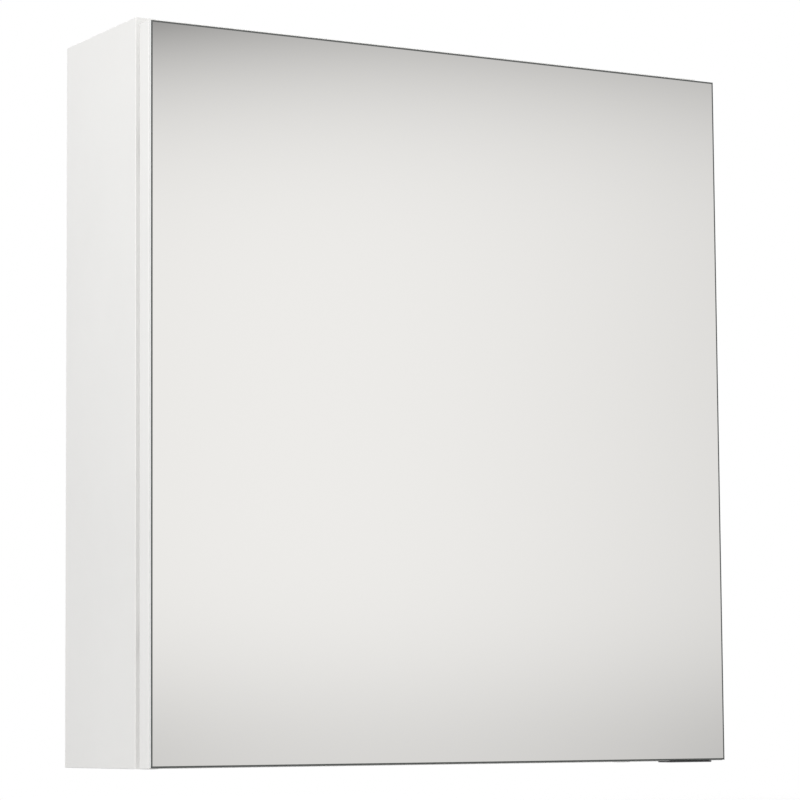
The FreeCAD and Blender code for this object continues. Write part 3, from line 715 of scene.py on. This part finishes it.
def lacquered_hardboard(colour):
    """White lacquer over smooth hardboard, with a trace of the fibres."""
    finish = Finish("lacquered_hardboard")
    finish.mottle(finish.noise(scale=20, detail=5), shade(colour, 0.97), colour)
    finish.roughness(finish.noise(scale=120), low=0.42, high=0.55)
    finish.bump(finish.noise(scale=500, detail=5, stretch=(1, 1, 0.4)), height=0.00003, strength=0.5)
    return finish.material


def bare_hardboard(colour):
    """Rear of the hardboard: brown fibres with the print of the pressing screen."""
    finish = Finish("bare_hardboard")
    clouds = finish.noise(scale=11, detail=6)
    flecks = finish.noise(scale=260, detail=8, stretch=(0.7, 1, 1))
    fibres = finish.noise(scale=1500, detail=8, stretch=(0.6, 1, 1))
    wires = [finish.ridges(scale=240, direction=direction) for direction in ("X", "Z")]
    screen = finish.math("MULTIPLY", *wires)
    printed = finish.mixed((clouds, 0.3), (flecks, 0.4), (fibres, 0.3), (screen, 0.09))
    finish.colours(printed, (0.42, shade(colour, 0.8)), (0.52, colour), (0.63, shade(colour, 1.18)))
    finish.set(Roughness=0.8, Specular_IOR_Level=0.3)
    finish.bump(screen, height=0.0002, strength=0.5)
    finish.bump(fibres, height=0.00008, strength=0.5)
    return finish.material


def silvered_face(colour):
    """The mirror's face, with a trace of wiping marks in its gloss."""
    finish = Finish("silvered_face")
    finish.set(Base_Color=colour, Metallic=1.0)
    finish.roughness(finish.noise(scale=12, detail=5, stretch=(1, 1, 0.3)), low=0.0, high=0.015)
    return finish.material


def arris_painted_reflection(colour):
    """The mirror's ground bevel, given a dark colour and little gloss as a painted reflection, so it reads
    dark against the face.
    """
    finish = Finish("arris_painted_reflection")
    # Painted reflection: the dark base colour and low specular stand in for the dark surroundings that the
    # bevel would reflect
    finish.mottle(finish.noise(scale=700), shade(colour, 0.85), shade(colour, 1.15))
    finish.set(Specular_IOR_Level=0.05)
    finish.roughness(finish.noise(scale=2500, detail=2), low=0.45, high=0.6)
    finish.bump(finish.noise(scale=4000, detail=2), height=0.00001, strength=0.5)
    return finish.material


def glass_rim():
    """The mirror's pale ground edge."""
    finish = Finish("glass_rim")
    finish.mottle(finish.noise(scale=300), RIM_DARK, RIM_LIGHT)
    finish.roughness(finish.noise(scale=1500, detail=2), low=0.25, high=0.4)
    finish.bump(finish.noise(scale=3000, detail=2), height=0.00001, strength=0.5)
    return finish.material


def mirror_backing():
    """Grey protective paint on the mirror's back."""
    finish = Finish("mirror_backing")
    finish.mottle(finish.noise(scale=40, detail=4), BACKING_DARK, BACKING_LIGHT)
    finish.roughness(finish.noise(scale=300), low=0.5, high=0.65)
    return finish.material


def clear_glass(colour):
    """Clear float glass with a trace of dust in its gloss."""
    finish = Finish("clear_glass")
    finish.set(Base_Color=colour, Transmission_Weight=1.0, IOR=GLASS_IOR)
    finish.roughness(finish.noise(scale=30, detail=5), low=0.0, high=0.03)
    return finish.material


def ground_glass_edge(colour):
    """A shelf's ground edge, green where the light runs along the glass."""
    finish = Finish("ground_glass_edge")
    finish.mottle(finish.noise(scale=60, detail=4), shade(colour, 0.94), shade(colour, 1.05))
    finish.set(Transmission_Weight=0.35, IOR=GLASS_IOR)
    finish.roughness(finish.noise(scale=900, detail=2), low=0.14, high=0.2)
    finish.bump(finish.noise(scale=1200, detail=2), height=0.000002, strength=0.15)
    return finish.material


def plated_metal(name, colour, low, high, clouds):
    """Plated steel with soft clouds in its colour and gloss, and fine rolling marks."""
    finish = Finish(name)
    finish.mottle(finish.noise(scale=120, detail=4), shade(colour, 1 - clouds), shade(colour, 1 + clouds))
    finish.set(Metallic=1.0)
    finish.roughness(finish.noise(scale=1400, stretch=(1, 0.1, 1)), low, high)
    finish.bump(finish.noise(scale=900), height=0.000002, strength=0.2)
    return finish.material


def cast_zinc(colour):
    """Dull die-cast zinc with a sandy skin."""
    finish = Finish("cast_zinc")
    finish.mottle(finish.noise(scale=300, detail=5), shade(colour, 0.7), shade(colour, 0.9))
    finish.set(Metallic=1.0)
    finish.roughness(finish.noise(scale=800), low=0.45, high=0.6)
    finish.bump(finish.noise(scale=2000, detail=4), height=0.00003, strength=0.5)
    return finish.material


def moulded_plastic(name, colour, low, high):
    """Moulded plastic with a fine spark-eroded skin."""
    finish = Finish(name)
    finish.mottle(finish.noise(scale=40, detail=4), shade(colour, 0.97), shade(colour, 1.01))
    finish.roughness(finish.noise(scale=400), low, high)
    finish.bump(finish.noise(scale=2600, detail=2), height=0.00002, strength=0.5)
    return finish.material


def soft_buffer():
    """Clear soft plastic, milky where it is thick."""
    finish = Finish("soft_buffer")
    finish.mottle(finish.noise(scale=200), BUFFER_DARK, BUFFER_LIGHT)
    finish.set(Transmission_Weight=0.35, IOR=SOFT_PLASTIC_IOR)
    finish.roughness(finish.noise(scale=600), low=0.3, high=0.45)
    return finish.material


def anodised_strip(colour):
    """Dark anodised aluminium, brushed along its length."""
    finish = Finish("anodised_strip")
    brushed = finish.noise(scale=1500, stretch=(0.03, 1, 1))
    finish.mottle(brushed, shade(colour, 0.8), shade(colour, 1.25))
    finish.set(Metallic=0.85)
    finish.roughness(finish.noise(scale=1200, stretch=(0.03, 1, 1)), low=0.35, high=0.5)
    finish.bump(finish.noise(scale=3000, detail=2, stretch=(0.02, 1, 1)), height=0.00001, strength=0.5)
    return finish.material


def bare_beech():
    """Dowel beech with short dark flecks along the grain."""
    finish = Finish("bare_beech")
    finish.mottle(finish.noise(scale=900, detail=4, stretch=(0.08, 1, 1)), BEECH_DARK, BEECH_LIGHT)
    finish.roughness(finish.noise(scale=900, stretch=(0.1, 1, 1)), low=0.55, high=0.75)
    finish.bump(finish.noise(scale=1600, stretch=(0.05, 1, 1)), height=0.00008, strength=0.5)
    return finish.material


def glue_film():
    """Pale mirror adhesive with small bubbles."""
    finish = Finish("glue_film")
    finish.mottle(finish.noise(scale=500, detail=4), GLUE_DARK, GLUE_LIGHT)
    finish.roughness(finish.noise(scale=700), low=0.5, high=0.7)
    return finish.material


# Pieces of the carcass
def faced_outside(low, high, axes, depth):
    """A chooser of the faced finish on a board's outside along some axes, and the bare one elsewhere."""

    def chooser(face):
        centre, normal = face.calc_center_median(), face.normal
        below = [normal[axis] < -TURNED_TO and centre[axis] < low[axis] + depth for axis in axes]
        above = [normal[axis] > TURNED_TO and centre[axis] > high[axis] - depth for axis in axes]
        return FACE if any(below + above) else BARE

    return chooser


class CABINET_OT_boards(bpy.types.Operator):
    """Make the side, top and bottom panels, white outside and bare where they are sawn or bored"""

    bl_idname = "cabinet.boards"
    bl_label = "Carcass boards"

    def execute(self, context):
        values = context.scene.cabinet_boards
        finishes = [white_melamine(values.melamine), bare_chipboard(values.chip)]
        for boards, faced_axes in ((SIDE_BOARDS, (0, 2)), (LEVEL_BOARDS, (2,))):
            for node, name in boards.items():
                low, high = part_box(node)
                behind_edging = low.y + values.arris
                bm = flat_copy(node)
                open_edges = set(edges_where(bm, lambda middle: middle.y > behind_edging))
                bevel(bm, [edge for edge in outer_edges(bm, BOARD_EDGE) if edge in open_edges], values.arris)
                paint(bm, faced_outside(low, high, faced_axes, values.arris))
                add_piece(name, bm, finishes, CARCASS, "white_board", node)
        return {"FINISHED"}


class CABINET_OT_back(bpy.types.Operator):
    """Make the thin back panel, lacquered inside and bare behind"""

    bl_idname = "cabinet.back"
    bl_label = "Back panel"

    def execute(self, context):
        values = context.scene.cabinet_boards
        finishes = [lacquered_hardboard(values.melamine), bare_hardboard(values.hardboard)]
        bm = flat_copy("back_panel")
        paint(bm, lambda face: FACE if face.normal.y < -TURNED_TO else BARE)
        add_piece("back_sheet", bm, finishes, CARCASS, "hardboard", "back_panel")
        return {"FINISHED"}


def carcass_strips():
    """Corners of the strip on the front edge of each carcass board."""
    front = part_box("carcass_edging")[0].y
    for board in (*SIDE_BOARDS, *LEVEL_BOARDS):
        low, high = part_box(board)
        yield Vector((low.x, front, low.z)), Vector((high.x, low.y, high.z))


def door_strips():
    """Corners of the strips round the door board: the upright ones run full height."""
    low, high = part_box("door_edging")
    inner_low, inner_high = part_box("door_board")
    yield low, Vector((inner_low.x, high.y, high.z))
    yield Vector((inner_high.x, low.y, low.z)), high
    yield Vector((inner_low.x, low.y, low.z)), Vector((inner_high.x, high.y, inner_low.z))
    yield Vector((inner_low.x, low.y, inner_high.z)), Vector((inner_high.x, high.y, high.z))


class CABINET_OT_edging(bpy.types.Operator):
    """Make the plastic edging of the carcass and the door, rounded outside"""

    bl_idname = "cabinet.edging"
    bl_label = "Edging"

    def execute(self, context):
        values = context.scene.cabinet_boards
        finish = white_edging(values.edging)
        carcass_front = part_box("carcass_edging")[0].y
        door_low, door_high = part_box("door_edging")

        def carcass_outer(middle):
            return near(middle.y, carcass_front)

        def door_outer(middle):
            across = near(middle.x, door_low.x) or near(middle.x, door_high.x)
            return across or near(middle.z, door_low.z) or near(middle.z, door_high.z)

        for node, name, body, corners, outer in (
            ("carcass_edging", "carcass_edge_bands", CARCASS, carcass_strips(), carcass_outer),
            ("door_edging", "door_edge_bands", DOOR, door_strips(), door_outer),
        ):
            strips = []
            for low, high in corners:
                strip = block(low, high)
                length = max(high - low)
                along = [edge for edge in edges_where(strip, outer) if near(edge.calc_length(), length)]
                bevel(strip, along, values.edging_round, segments=EDGING_STEPS)
                strips.append(strip)
            add_piece(name, joined(strips), [finish], body, "white_edging", node)
        return {"FINISHED"}


class CABINET_OT_caps(bpy.types.Operator):
    """Make the push-on caps over the cam locks, crowned with a moulded ring"""

    bl_idname = "cabinet.caps"
    bl_label = "Cam caps"

    def execute(self, context):
        finish = moulded_plastic("cap_plastic", context.scene.cabinet_fittings.plastic, low=0.3, high=0.42)
        middle_z = (cad_low.z + cad_high.z) / 2
        caps = []
        for low, high in solid_boxes("cam_caps"):
            radius = (high.x - low.x) / 2
            height = high.z - low.z
            cap = turned([(radius * out, height * up) for out, up in CAP_CROWN + CAP_GROOVE + CAP_RIM])
            upward = low.z > middle_z
            foot = Vector(((low.x + high.x) / 2, (low.y + high.y) / 2, low.z if upward else high.z))
            put(cap, foot, Matrix.Identity(4) if upward else Matrix.Rotation(math.pi, 4, "X"))
            caps.append(cap)
        add_piece("cap_covers", joined(caps), [finish], CARCASS, "white_plastic", "cam_caps")
        return {"FINISHED"}


class CABINET_OT_shelves(bpy.types.Operator):
    """Make the glass shelves with rounded front corners and ground edges"""

    bl_idname = "cabinet.shelves"
    bl_label = "Glass shelves"

    def execute(self, context):
        values = context.scene.cabinet_fittings
        finishes = [clear_glass(values.glass), ground_glass_edge(values.glass_edge)]
        for node, name in (("lower_shelf", "shelf_lower"), ("upper_shelf", "shelf_upper")):
            low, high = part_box(node)
            bm = block(low, high)
            corners = [
                edge
                for edge in edges_where(bm, lambda middle: near(middle.y, low.y))
                if near(edge.verts[0].co.x, edge.verts[1].co.x)
            ]
            bevel(bm, corners, values.glass_corner, segments=CORNER_STEPS)
            rim = edges_where(bm, lambda middle: near(middle.z, low.z) or near(middle.z, high.z))
            bevel(bm, rim, values.glass_arris)
            paint(bm, lambda face: FACE if abs(face.normal.z) > SQUARE_TO else BARE)
            add_piece(name, bm, finishes, CARCASS, "shelf_glass", node)
        return {"FINISHED"}


class CABINET_OT_hangers(bpy.types.Operator):
    """Make the hanger housings, hooks, wall plates and shelf pins"""

    bl_idname = "cabinet.hangers"
    bl_label = "Hangers and pins"

    def execute(self, context):
        values = context.scene.cabinet_fittings
        plastic = moulded_plastic("housing_plastic", values.plastic, low=0.32, high=0.46)
        zinc = plated_metal("zinc_plate", values.zinc, low=0.28, high=0.42, clouds=0.06)
        for side, inward in (("left", 1), ("right", -1)):
            node = side + "_hanger_housing"
            bm = flat_copy(node)
            inner_faces = [face for face in bm.faces if face.normal.x * inward > SQUARE_TO]
            bmesh.ops.inset_region(
                bm,
                faces=[max(inner_faces, key=lambda face: face.calc_area())],
                thickness=values.panel_inset,
                depth=-values.panel_depth,
                use_even_offset=True,
            )
            add_piece("hanger_" + side, bm, [plastic], CARCASS, "white_plastic", node)
            for part, name in (("_hanger_hook", "hook_"), ("_wall_plate", "plate_")):
                bm = flat_copy(side + part)
                bevel(bm, outer_edges(bm), values.metal_arris)
                add_piece(name + side, bm, [zinc], WALL_HANGERS, "zinc_steel", side + part)
        bm = flat_copy("shelf_pins")
        bevel(bm, outer_edges(bm), values.metal_arris)
        add_piece("shelf_studs", bm, [zinc], CARCASS, "zinc_steel", "shelf_pins")
        return {"FINISHED"}


class CABINET_OT_hinges(bpy.types.Operator):
    """Make the hinge plates, arms and cups with broken edges"""

    bl_idname = "cabinet.hinges"
    bl_label = "Cup hinges"

    def execute(self, context):
        values = context.scene.cabinet_fittings
        nickel = plated_metal("nickel_plate", values.nickel, low=0.22, high=0.28, clouds=0.02)
        for place in ("upper", "lower"):
            for part, body in (("plate", CARCASS), ("arm", CARCASS), ("cup", DOOR)):
                node = place + "_hinge_" + part
                bm = flat_copy(node)
                bevel(bm, outer_edges(bm), values.metal_arris)
                add_piece("hinge_" + part + "_" + place, bm, [nickel], body, "nickel_steel", node)
        for node in ("hinge_pins", "hinge_springs"):
            dress_node(node, nickel)
        return {"FINISHED"}


def drawn_out(bm, loop, spread, height):
    """Extrude a loop of edges about Z to another width and height, and give the new loop."""
    made = bmesh.ops.extrude_edge_only(bm, edges=loop)["geom"]
    verts = {item for item in made if isinstance(item, bmesh.types.BMVert)}
    for vert in verts:
        vert.co = (vert.co.x * spread, vert.co.y * spread, height)
    edges = [item for item in made if isinstance(item, bmesh.types.BMEdge)]
    return [edge for edge in edges if verts.issuperset(edge.verts)]


def cross_screw(head_radius, head_height, shank_radius, shank_length):
    """A bmesh of a screw along Z with its seat at the origin and a cross recess in its head."""
    bm = bmesh.new()
    flat = head_radius * HEAD_FLAT
    wing = head_radius * RECESS_WING
    half_slot = head_radius * RECESS_HALF_SLOT
    bmesh.ops.create_circle(bm, cap_ends=False, radius=flat, segments=SCREW_STEPS)
    ring = list(bm.edges)
    corner = ((wing, -half_slot), (wing, half_slot), (half_slot, half_slot))
    quarters = [Matrix.Rotation(turn * FULL_TURN / 4, 2) for turn in range(4)]
    outline = [bm.verts.new((*(quarter @ Vector(point)), 0)) for quarter in quarters for point in corner]
    cross = [bm.edges.new(pair) for pair in zip(outline, outline[1:] + outline[:1])]
    bmesh.ops.triangle_fill(bm, edges=ring + cross, use_beauty=True)
    bmesh.ops.translate(bm, vec=(0, 0, head_height), verts=bm.verts)
    recess_floor = drawn_out(bm, cross, RECESS_FLOOR, head_height - head_height * RECESS_DEPTH)
    bmesh.ops.edgeloop_fill(bm, edges=recess_floor)
    radius = flat
    for next_radius, height in (
        (head_radius * HEAD_SHOULDER, head_height * HEAD_SHOULDER_HEIGHT),
        (head_radius, head_height * HEAD_SIDE_HEIGHT),
        (head_radius, 0),
        (shank_radius, 0),
        (shank_radius, -shank_length * SHANK_STRAIGHT),
        (shank_radius * SHANK_TIP, -shank_length),
    ):
        ring = drawn_out(bm, ring, next_radius / radius, height)
        radius = next_radius
    bmesh.ops.edgeloop_fill(bm, edges=ring)
    bmesh.ops.recalc_face_normals(bm, faces=bm.faces)
    return bm


class CABINET_OT_screws(bpy.types.Operator):
    """Make the cross-recessed screws of the hinges, hangers and finger pull"""

    bl_idname = "cabinet.screws"
    bl_label = "Screws"

    def execute(self, context):
        zinc = context.scene.cabinet_fittings.zinc
        finish = plated_metal("screw_plating", zinc, low=0.24, high=0.36, clouds=0.04)
        for kind in SCREW_KINDS:
            turn = kind.direction.to_track_quat("Z", "Y").to_matrix().to_4x4()
            screws = []
            for low, high in solid_boxes(kind.node):
                size = high - low
                reach = abs(size.dot(kind.direction)) / 2
                head_radius = min(size[axis] for axis in range(3) if near(kind.direction[axis], 0)) / 2
                screw = cross_screw(head_radius, kind.head, kind.shank, reach * 2 - kind.head)
                put(screw, (low + high) / 2 + kind.direction * (reach - kind.head), turn)
                screws.append(screw)
            add_piece(kind.name, joined(screws), [finish], kind.body, "zinc_steel", kind.node)
        return {"FINISHED"}


class CABINET_OT_buffers(bpy.types.Operator):
    """Make the soft buffers that the shut door rests against"""

    bl_idname = "cabinet.buffers"
    bl_label = "Door buffers"

    def execute(self, context):
        carcass_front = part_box("carcass_edging")[0].y
        buffers = []
        for low, high in solid_boxes("door_buffers"):
            radius = (high.x - low.x) / 2
            stem_radius = radius * BUFFER_STEM
            head = carcass_front - low.y
            stem = high.y - carcass_front
            profile = [(radius * out, head * up) for out, up in BUFFER_CROWN + BUFFER_SIDE]
            buffer = turned([*profile, (stem_radius, 0), (stem_radius, -stem), (0, -stem)])
            seat = Vector(((low.x + high.x) / 2, carcass_front, (low.z + high.z) / 2))
            put(buffer, seat, Matrix.Rotation(math.pi / 2, 4, "X"))
            buffers.append(buffer)
        add_piece("soft_buffers", joined(buffers), [soft_buffer()], CARCASS, "buffer", "door_buffers")
        return {"FINISHED"}


class CABINET_OT_joinery(bpy.types.Operator):
    """Finish the dowels, bolts and cams that sit inside the boards"""

    bl_idname = "cabinet.joinery"
    bl_label = "Corner fittings"

    def execute(self, context):
        zinc = context.scene.cabinet_fittings.zinc
        dress_node("dowels", bare_beech())
        dress_node("cam_bolts", plated_metal("bolt_plating", zinc, low=0.25, high=0.4, clouds=0.04))
        dress_node("cam_locks", cast_zinc(zinc))
        return {"FINISHED"}


# Pieces of the door
class CABINET_OT_door_board(bpy.types.Operator):
    """Make the door board, white on both faces and bored for the cups"""

    bl_idname = "cabinet.door_board"
    bl_label = "Door board"

    def execute(self, context):
        values = context.scene.cabinet_boards
        front, rear = (corner.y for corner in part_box("door_board"))

        def chooser(face):
            place = face.calc_center_median().y
            return FACE if near(place, front) or near(place, rear) else BARE

        bm = flat_copy("door_board")
        paint(bm, chooser)
        finishes = [white_melamine(values.melamine), bare_chipboard(values.chip)]
        add_piece("door_panel", bm, finishes, DOOR, "white_board", "door_board")
        return {"FINISHED"}


class CABINET_OT_mirror(bpy.types.Operator):
    """Make the mirror with its ground arris, pale edge and painted back"""

    bl_idname = "cabinet.mirror"
    bl_label = "Mirror"

    def execute(self, context):
        values = context.scene.cabinet_door
        low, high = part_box("mirror_glass")
        shoulder = Vector((low.x, low.y + values.mirror_fall, low.z))
        bm = block(shoulder, high)
        front = [face for face in bm.faces if near(face.calc_center_median().y, shoulder.y)]
        bmesh.ops.inset_region(bm, faces=front, thickness=values.mirror_arris, depth=values.mirror_fall)
        bevel(bm, edges_where(bm, lambda middle: near(middle.y, high.y)), values.mirror_seam)
        finishes = [
            silvered_face(values.silver),
            # The arris finish is a painted dark reflection
            arris_painted_reflection(values.arris_reflection_shade),
            glass_rim(),
            mirror_backing(),
        ]
        silvered, arris, rim, backing = range(len(finishes))

        def chooser(face):
            if near(face.calc_center_median().y, low.y):
                return silvered
            if face.normal.y < -TURNED_TO:
                return arris
            return backing if face.normal.y > SQUARE_TO else rim

        paint(bm, chooser)
        add_piece("mirror_pane", bm, finishes, DOOR, "mirror_glass", "mirror_glass", smooth_below=FLAT)
        dress_node("mirror_adhesive", glue_film())
        return {"FINISHED"}


class CABINET_OT_pull(bpy.types.Operator):
    """Make the dark finger pull under the door"""

    bl_idname = "cabinet.pull"
    bl_label = "Finger pull"

    def execute(self, context):
        values = context.scene.cabinet_door
        bm = flat_copy("finger_pull")
        bevel(bm, outer_edges(bm), values.pull_arris)
        add_piece("pull_strip", bm, [anodised_strip(values.pull)], DOOR, "pull_metal", "finger_pull")
        return {"FINISHED"}


# Stage
def looked_at(tree):
    """One for rays from the camera, metal and glass, and nought for those that only carry light."""
    path = tree.nodes.new("ShaderNodeLightPath").outputs
    direct = arithmetic(tree, "MAXIMUM", path["Is Camera Ray"], path["Is Glossy Ray"])
    return arithmetic(tree, "MAXIMUM", direct, path["Is Transmission Ray"])


def studio_world(scene, ambient):
    """White where the camera, metal and glass look, and a plain soft light for the rest."""
    world = bpy.data.worlds.new("studio")
    world.use_nodes = True
    scene.world = world
    tree = world.node_tree
    background = tree.nodes["Background"]
    background.inputs["Color"].default_value = (*WHITE, 1)
    strength = arithmetic(tree, "MULTIPLY_ADD", looked_at(tree), 1 - ambient, ambient)
    tree.links.new(strength, background.inputs["Strength"])


def pale_floor(values):
    """A pale floor that keeps the shadow, fades into the white background and is clear from below."""
    finish = Finish("pale_floor")
    tree = finish.material.node_tree
    finish.set(Base_Color=values.floor_colour, Roughness=0.9, Specular_IOR_Level=0.1, Emission_Color=WHITE)
    finish.feed("Emission Strength", finish.math("MULTIPLY", looked_at(tree), values.floor_glow))
    distance = finish.nodes.new("ShaderNodeVectorMath")
    distance.operation = "LENGTH"
    finish.links.new(finish.place, distance.inputs[0])
    fade = finish.nodes.new("ShaderNodeMapRange")
    fade.interpolation_type = "SMOOTHSTEP"
    fade.inputs["From Min"].default_value = values.floor_radius * FLOOR_FULL_SHARE
    fade.inputs["From Max"].default_value = values.floor_radius
    fade.inputs["To Min"].default_value = 1
    fade.inputs["To Max"].default_value = 0
    finish.links.new(distance.outputs["Value"], fade.inputs["Value"])
    from_below = finish.nodes.new("ShaderNodeNewGeometry").outputs["Backfacing"]
    from_above = finish.math("SUBTRACT", 1, from_below)
    return finish.feed("Alpha", finish.math("MULTIPLY", fade.outputs["Result"], from_above)).material


def glowing_sweep(values):
    """The curved white sweep that the mirror reflects, brightest at mid height and dim above and below."""
    finish = Finish("glowing_sweep")
    finish.set(Base_Color=BLACK, Specular_IOR_Level=0, Emission_Color=values.sweep_colour)
    split = finish.nodes.new("ShaderNodeSeparateXYZ")
    finish.links.new(finish.place, split.inputs["Vector"])

    def between(value, least, most):
        return finish.math("MINIMUM", finish.math("MAXIMUM", value, least), most)

    def measured(value, start, length):
        return finish.math("DIVIDE", finish.math("SUBTRACT", value, start), length)

    def squared_from(value, middle):
        return finish.math("POWER", finish.math("SUBTRACT", value, middle), 2)

    def dimmed(amount, dim):
        return finish.math("SUBTRACT", 1, finish.math("MULTIPLY", amount, dim))

    sideways = finish.math("ABSOLUTE", split.outputs["X"])
    inner = between(finish.math("SUBTRACT", 1, measured(sideways, SWEEP_INNER, SWEEP_INNER_TO_OUTER)), 0, 1)
    side = dimmed(squared_from(finish.math("SUBTRACT", 1, inner), SWEEP_PEAK), SWEEP_SIDE_DIM)
    height = measured(split.outputs["Z"], SWEEP_MIDDLE, SWEEP_HALF_HEIGHT)
    high = finish.math("POWER", between(height, 0, SWEEP_HIGHEST), SWEEP_HIGH_POWER)
    from_foot = measured(height, -SWEEP_FOOT, SWEEP_FOOT_SPREAD)
    near_foot = finish.math("EXPONENT", finish.math("MULTIPLY", finish.math("POWER", from_foot, 2), -1))
    off_least = squared_from(inner, SWEEP_DIM_LEAST_AT)
    top = dimmed(high, finish.math("MULTIPLY_ADD", off_least, SWEEP_HIGH_DIM_RISE, SWEEP_HIGH_DIM))
    bottom = dimmed(near_foot, finish.math("MULTIPLY_ADD", off_least, SWEEP_FOOT_DIM_RISE, SWEEP_FOOT_DIM))
    level = finish.math("MULTIPLY", finish.math("MULTIPLY", top, bottom), side)
    finish.feed("Emission Strength", finish.math("MULTIPLY", level, values.sweep_glow))
    return finish.material


def add_stage_mesh(name, bm, material):
    """Turn a bmesh into a part of the stage."""
    mesh = bpy.data.meshes.new(name)
    bm.to_mesh(mesh)
    bm.free()
    mesh.materials.append(material)
    piece = bpy.data.objects.new(name, mesh)
    bpy.context.scene.collection.objects.link(piece)
    return piece


def add_floor(values):
    """Lay the round floor a little below the cabinet."""
    bm = bmesh.new()
    bmesh.ops.create_circle(bm, cap_ends=True, radius=values.floor_radius, segments=STAGE_STEPS)
    bmesh.ops.translate(bm, vec=(0, 0, cad_low.z - values.floor_drop), verts=bm.verts)
    add_stage_mesh("floor", bm, pale_floor(values))


def add_sweep(values):
    """Stand the sweep round the front, where only the mirror and other gloss see it."""
    bm = bmesh.new()
    ends = [bm.verts.new((0, -values.sweep_radius, height)) for height in (SWEEP_BOTTOM, SWEEP_TOP)]
    post = bm.edges.new(ends)
    bmesh.ops.rotate(bm, cent=(0, 0, 0), matrix=Matrix.Rotation(-SWEEP_HALF_TURN, 3, "Z"), verts=ends)
    bmesh.ops.spin(
        bm,
        geom=[*ends, post],
        cent=(0, 0, 0),
        axis=(0, 0, 1),
        angle=SWEEP_HALF_TURN * 2,
        steps=STAGE_STEPS,
    )
    sweep = add_stage_mesh("sweep", bm, glowing_sweep(values))
    sweep.visible_camera = False
    sweep.visible_diffuse = False
    sweep.visible_shadow = False


def add_lamp(name, place, size, power):
    """A large soft lamp that points at the cabinet's middle and isn't mirrored in gloss."""
    lamp = bpy.data.lights.new(name, "AREA")
    lamp.size = size
    lamp.energy = power
    holder = bpy.data.objects.new(name, lamp)
    holder.location = place
    holder.rotation_euler = ((cad_low + cad_high) / 2 - Vector(place)).to_track_quat("-Z", "Y").to_euler()
    holder.visible_glossy = False
    bpy.context.scene.collection.objects.link(holder)


def add_camera(scene, lens):
    """A camera at the photograph's viewing angle."""
    camera = bpy.data.cameras.new("camera")
    camera.sensor_width = SENSOR_WIDTH
    camera.lens = lens
    holder = bpy.data.objects.new("camera", camera)
    turn = (
        Matrix.Rotation(-CAMERA_YAW, 4, "Z")
        @ Matrix.Rotation(math.pi / 2 + CAMERA_PITCH, 4, "X")
        @ Matrix.Rotation(CAMERA_ROLL, 4, "Z")
    )
    holder.matrix_world = Matrix.Translation(CAMERA_PLACE) @ turn
    scene.collection.objects.link(holder)
    scene.camera = holder


class CABINET_OT_stage(bpy.types.Operator):
    """Set the floor, the sweep in front, the lights and the camera"""

    bl_idname = "cabinet.stage"
    bl_label = "Stage"

    def execute(self, context):
        scene = context.scene
        values = scene.cabinet_stage
        scene.view_settings.view_transform = "Standard"
        studio_world(scene, values.ambient)
        add_floor(values)
        add_sweep(values)
        add_lamp("key", KEY_PLACE, KEY_SIZE, values.key)
        add_lamp("fill", FILL_PLACE, FILL_SIZE, values.fill)
        add_lamp("rear", REAR_PLACE, REAR_SIZE, values.rear)
        add_camera(scene, values.lens)
        return {"FINISHED"}


class CABINET_PT_panel(bpy.types.Panel):
    """Lists the values and the steps that dress the cabinet"""

    bl_idname = "CABINET_PT_panel"
    bl_label = "Mirror cabinet"
    bl_space_type = "VIEW_3D"
    bl_region_type = "UI"
    bl_category = "Cabinet"

    def draw(self, context):
        for name, group in VALUES.items():
            box = self.layout.box()
            box.label(text=group.__doc__)
            for value in group.__annotations__:
                box.prop(getattr(context.scene, name), value)
        for operator in OPERATORS:
            self.layout.operator(operator.bl_idname)


VALUES = {
    "cabinet_boards": CabinetBoardValues,
    "cabinet_door": CabinetDoorValues,
    "cabinet_fittings": CabinetFittingValues,
    "cabinet_stage": CabinetStageValues,
}
OPERATORS = (
    CABINET_OT_boards,
    CABINET_OT_back,
    CABINET_OT_edging,
    CABINET_OT_caps,
    CABINET_OT_shelves,
    CABINET_OT_hangers,
    CABINET_OT_hinges,
    CABINET_OT_screws,
    CABINET_OT_buffers,
    CABINET_OT_door_board,
    CABINET_OT_mirror,
    CABINET_OT_pull,
    CABINET_OT_joinery,
    CABINET_OT_stage,
)


def register():
    """Make the values, operators and panel known."""
    for name, group in VALUES.items():
        bpy.utils.register_class(group)
        setattr(bpy.types.Scene, name, bpy.props.PointerProperty(type=group))
    for operator in OPERATORS:
        bpy.utils.register_class(operator)
    bpy.utils.register_class(CABINET_PT_panel)


def unregister():
    """Take the values, operators and panel away."""
    bpy.utils.unregister_class(CABINET_PT_panel)
    for operator in reversed(OPERATORS):
        bpy.utils.unregister_class(operator)
    for name, group in VALUES.items():
        delattr(bpy.types.Scene, name)
        bpy.utils.unregister_class(group)


def main():
    """Dress the cabinet by running each of its operators in turn."""
    register()
    for operator in OPERATORS:
        group, name = operator.bl_idname.split(".")
        getattr(getattr(bpy.ops, group), name)()


if __name__ == "__main__":
    main()
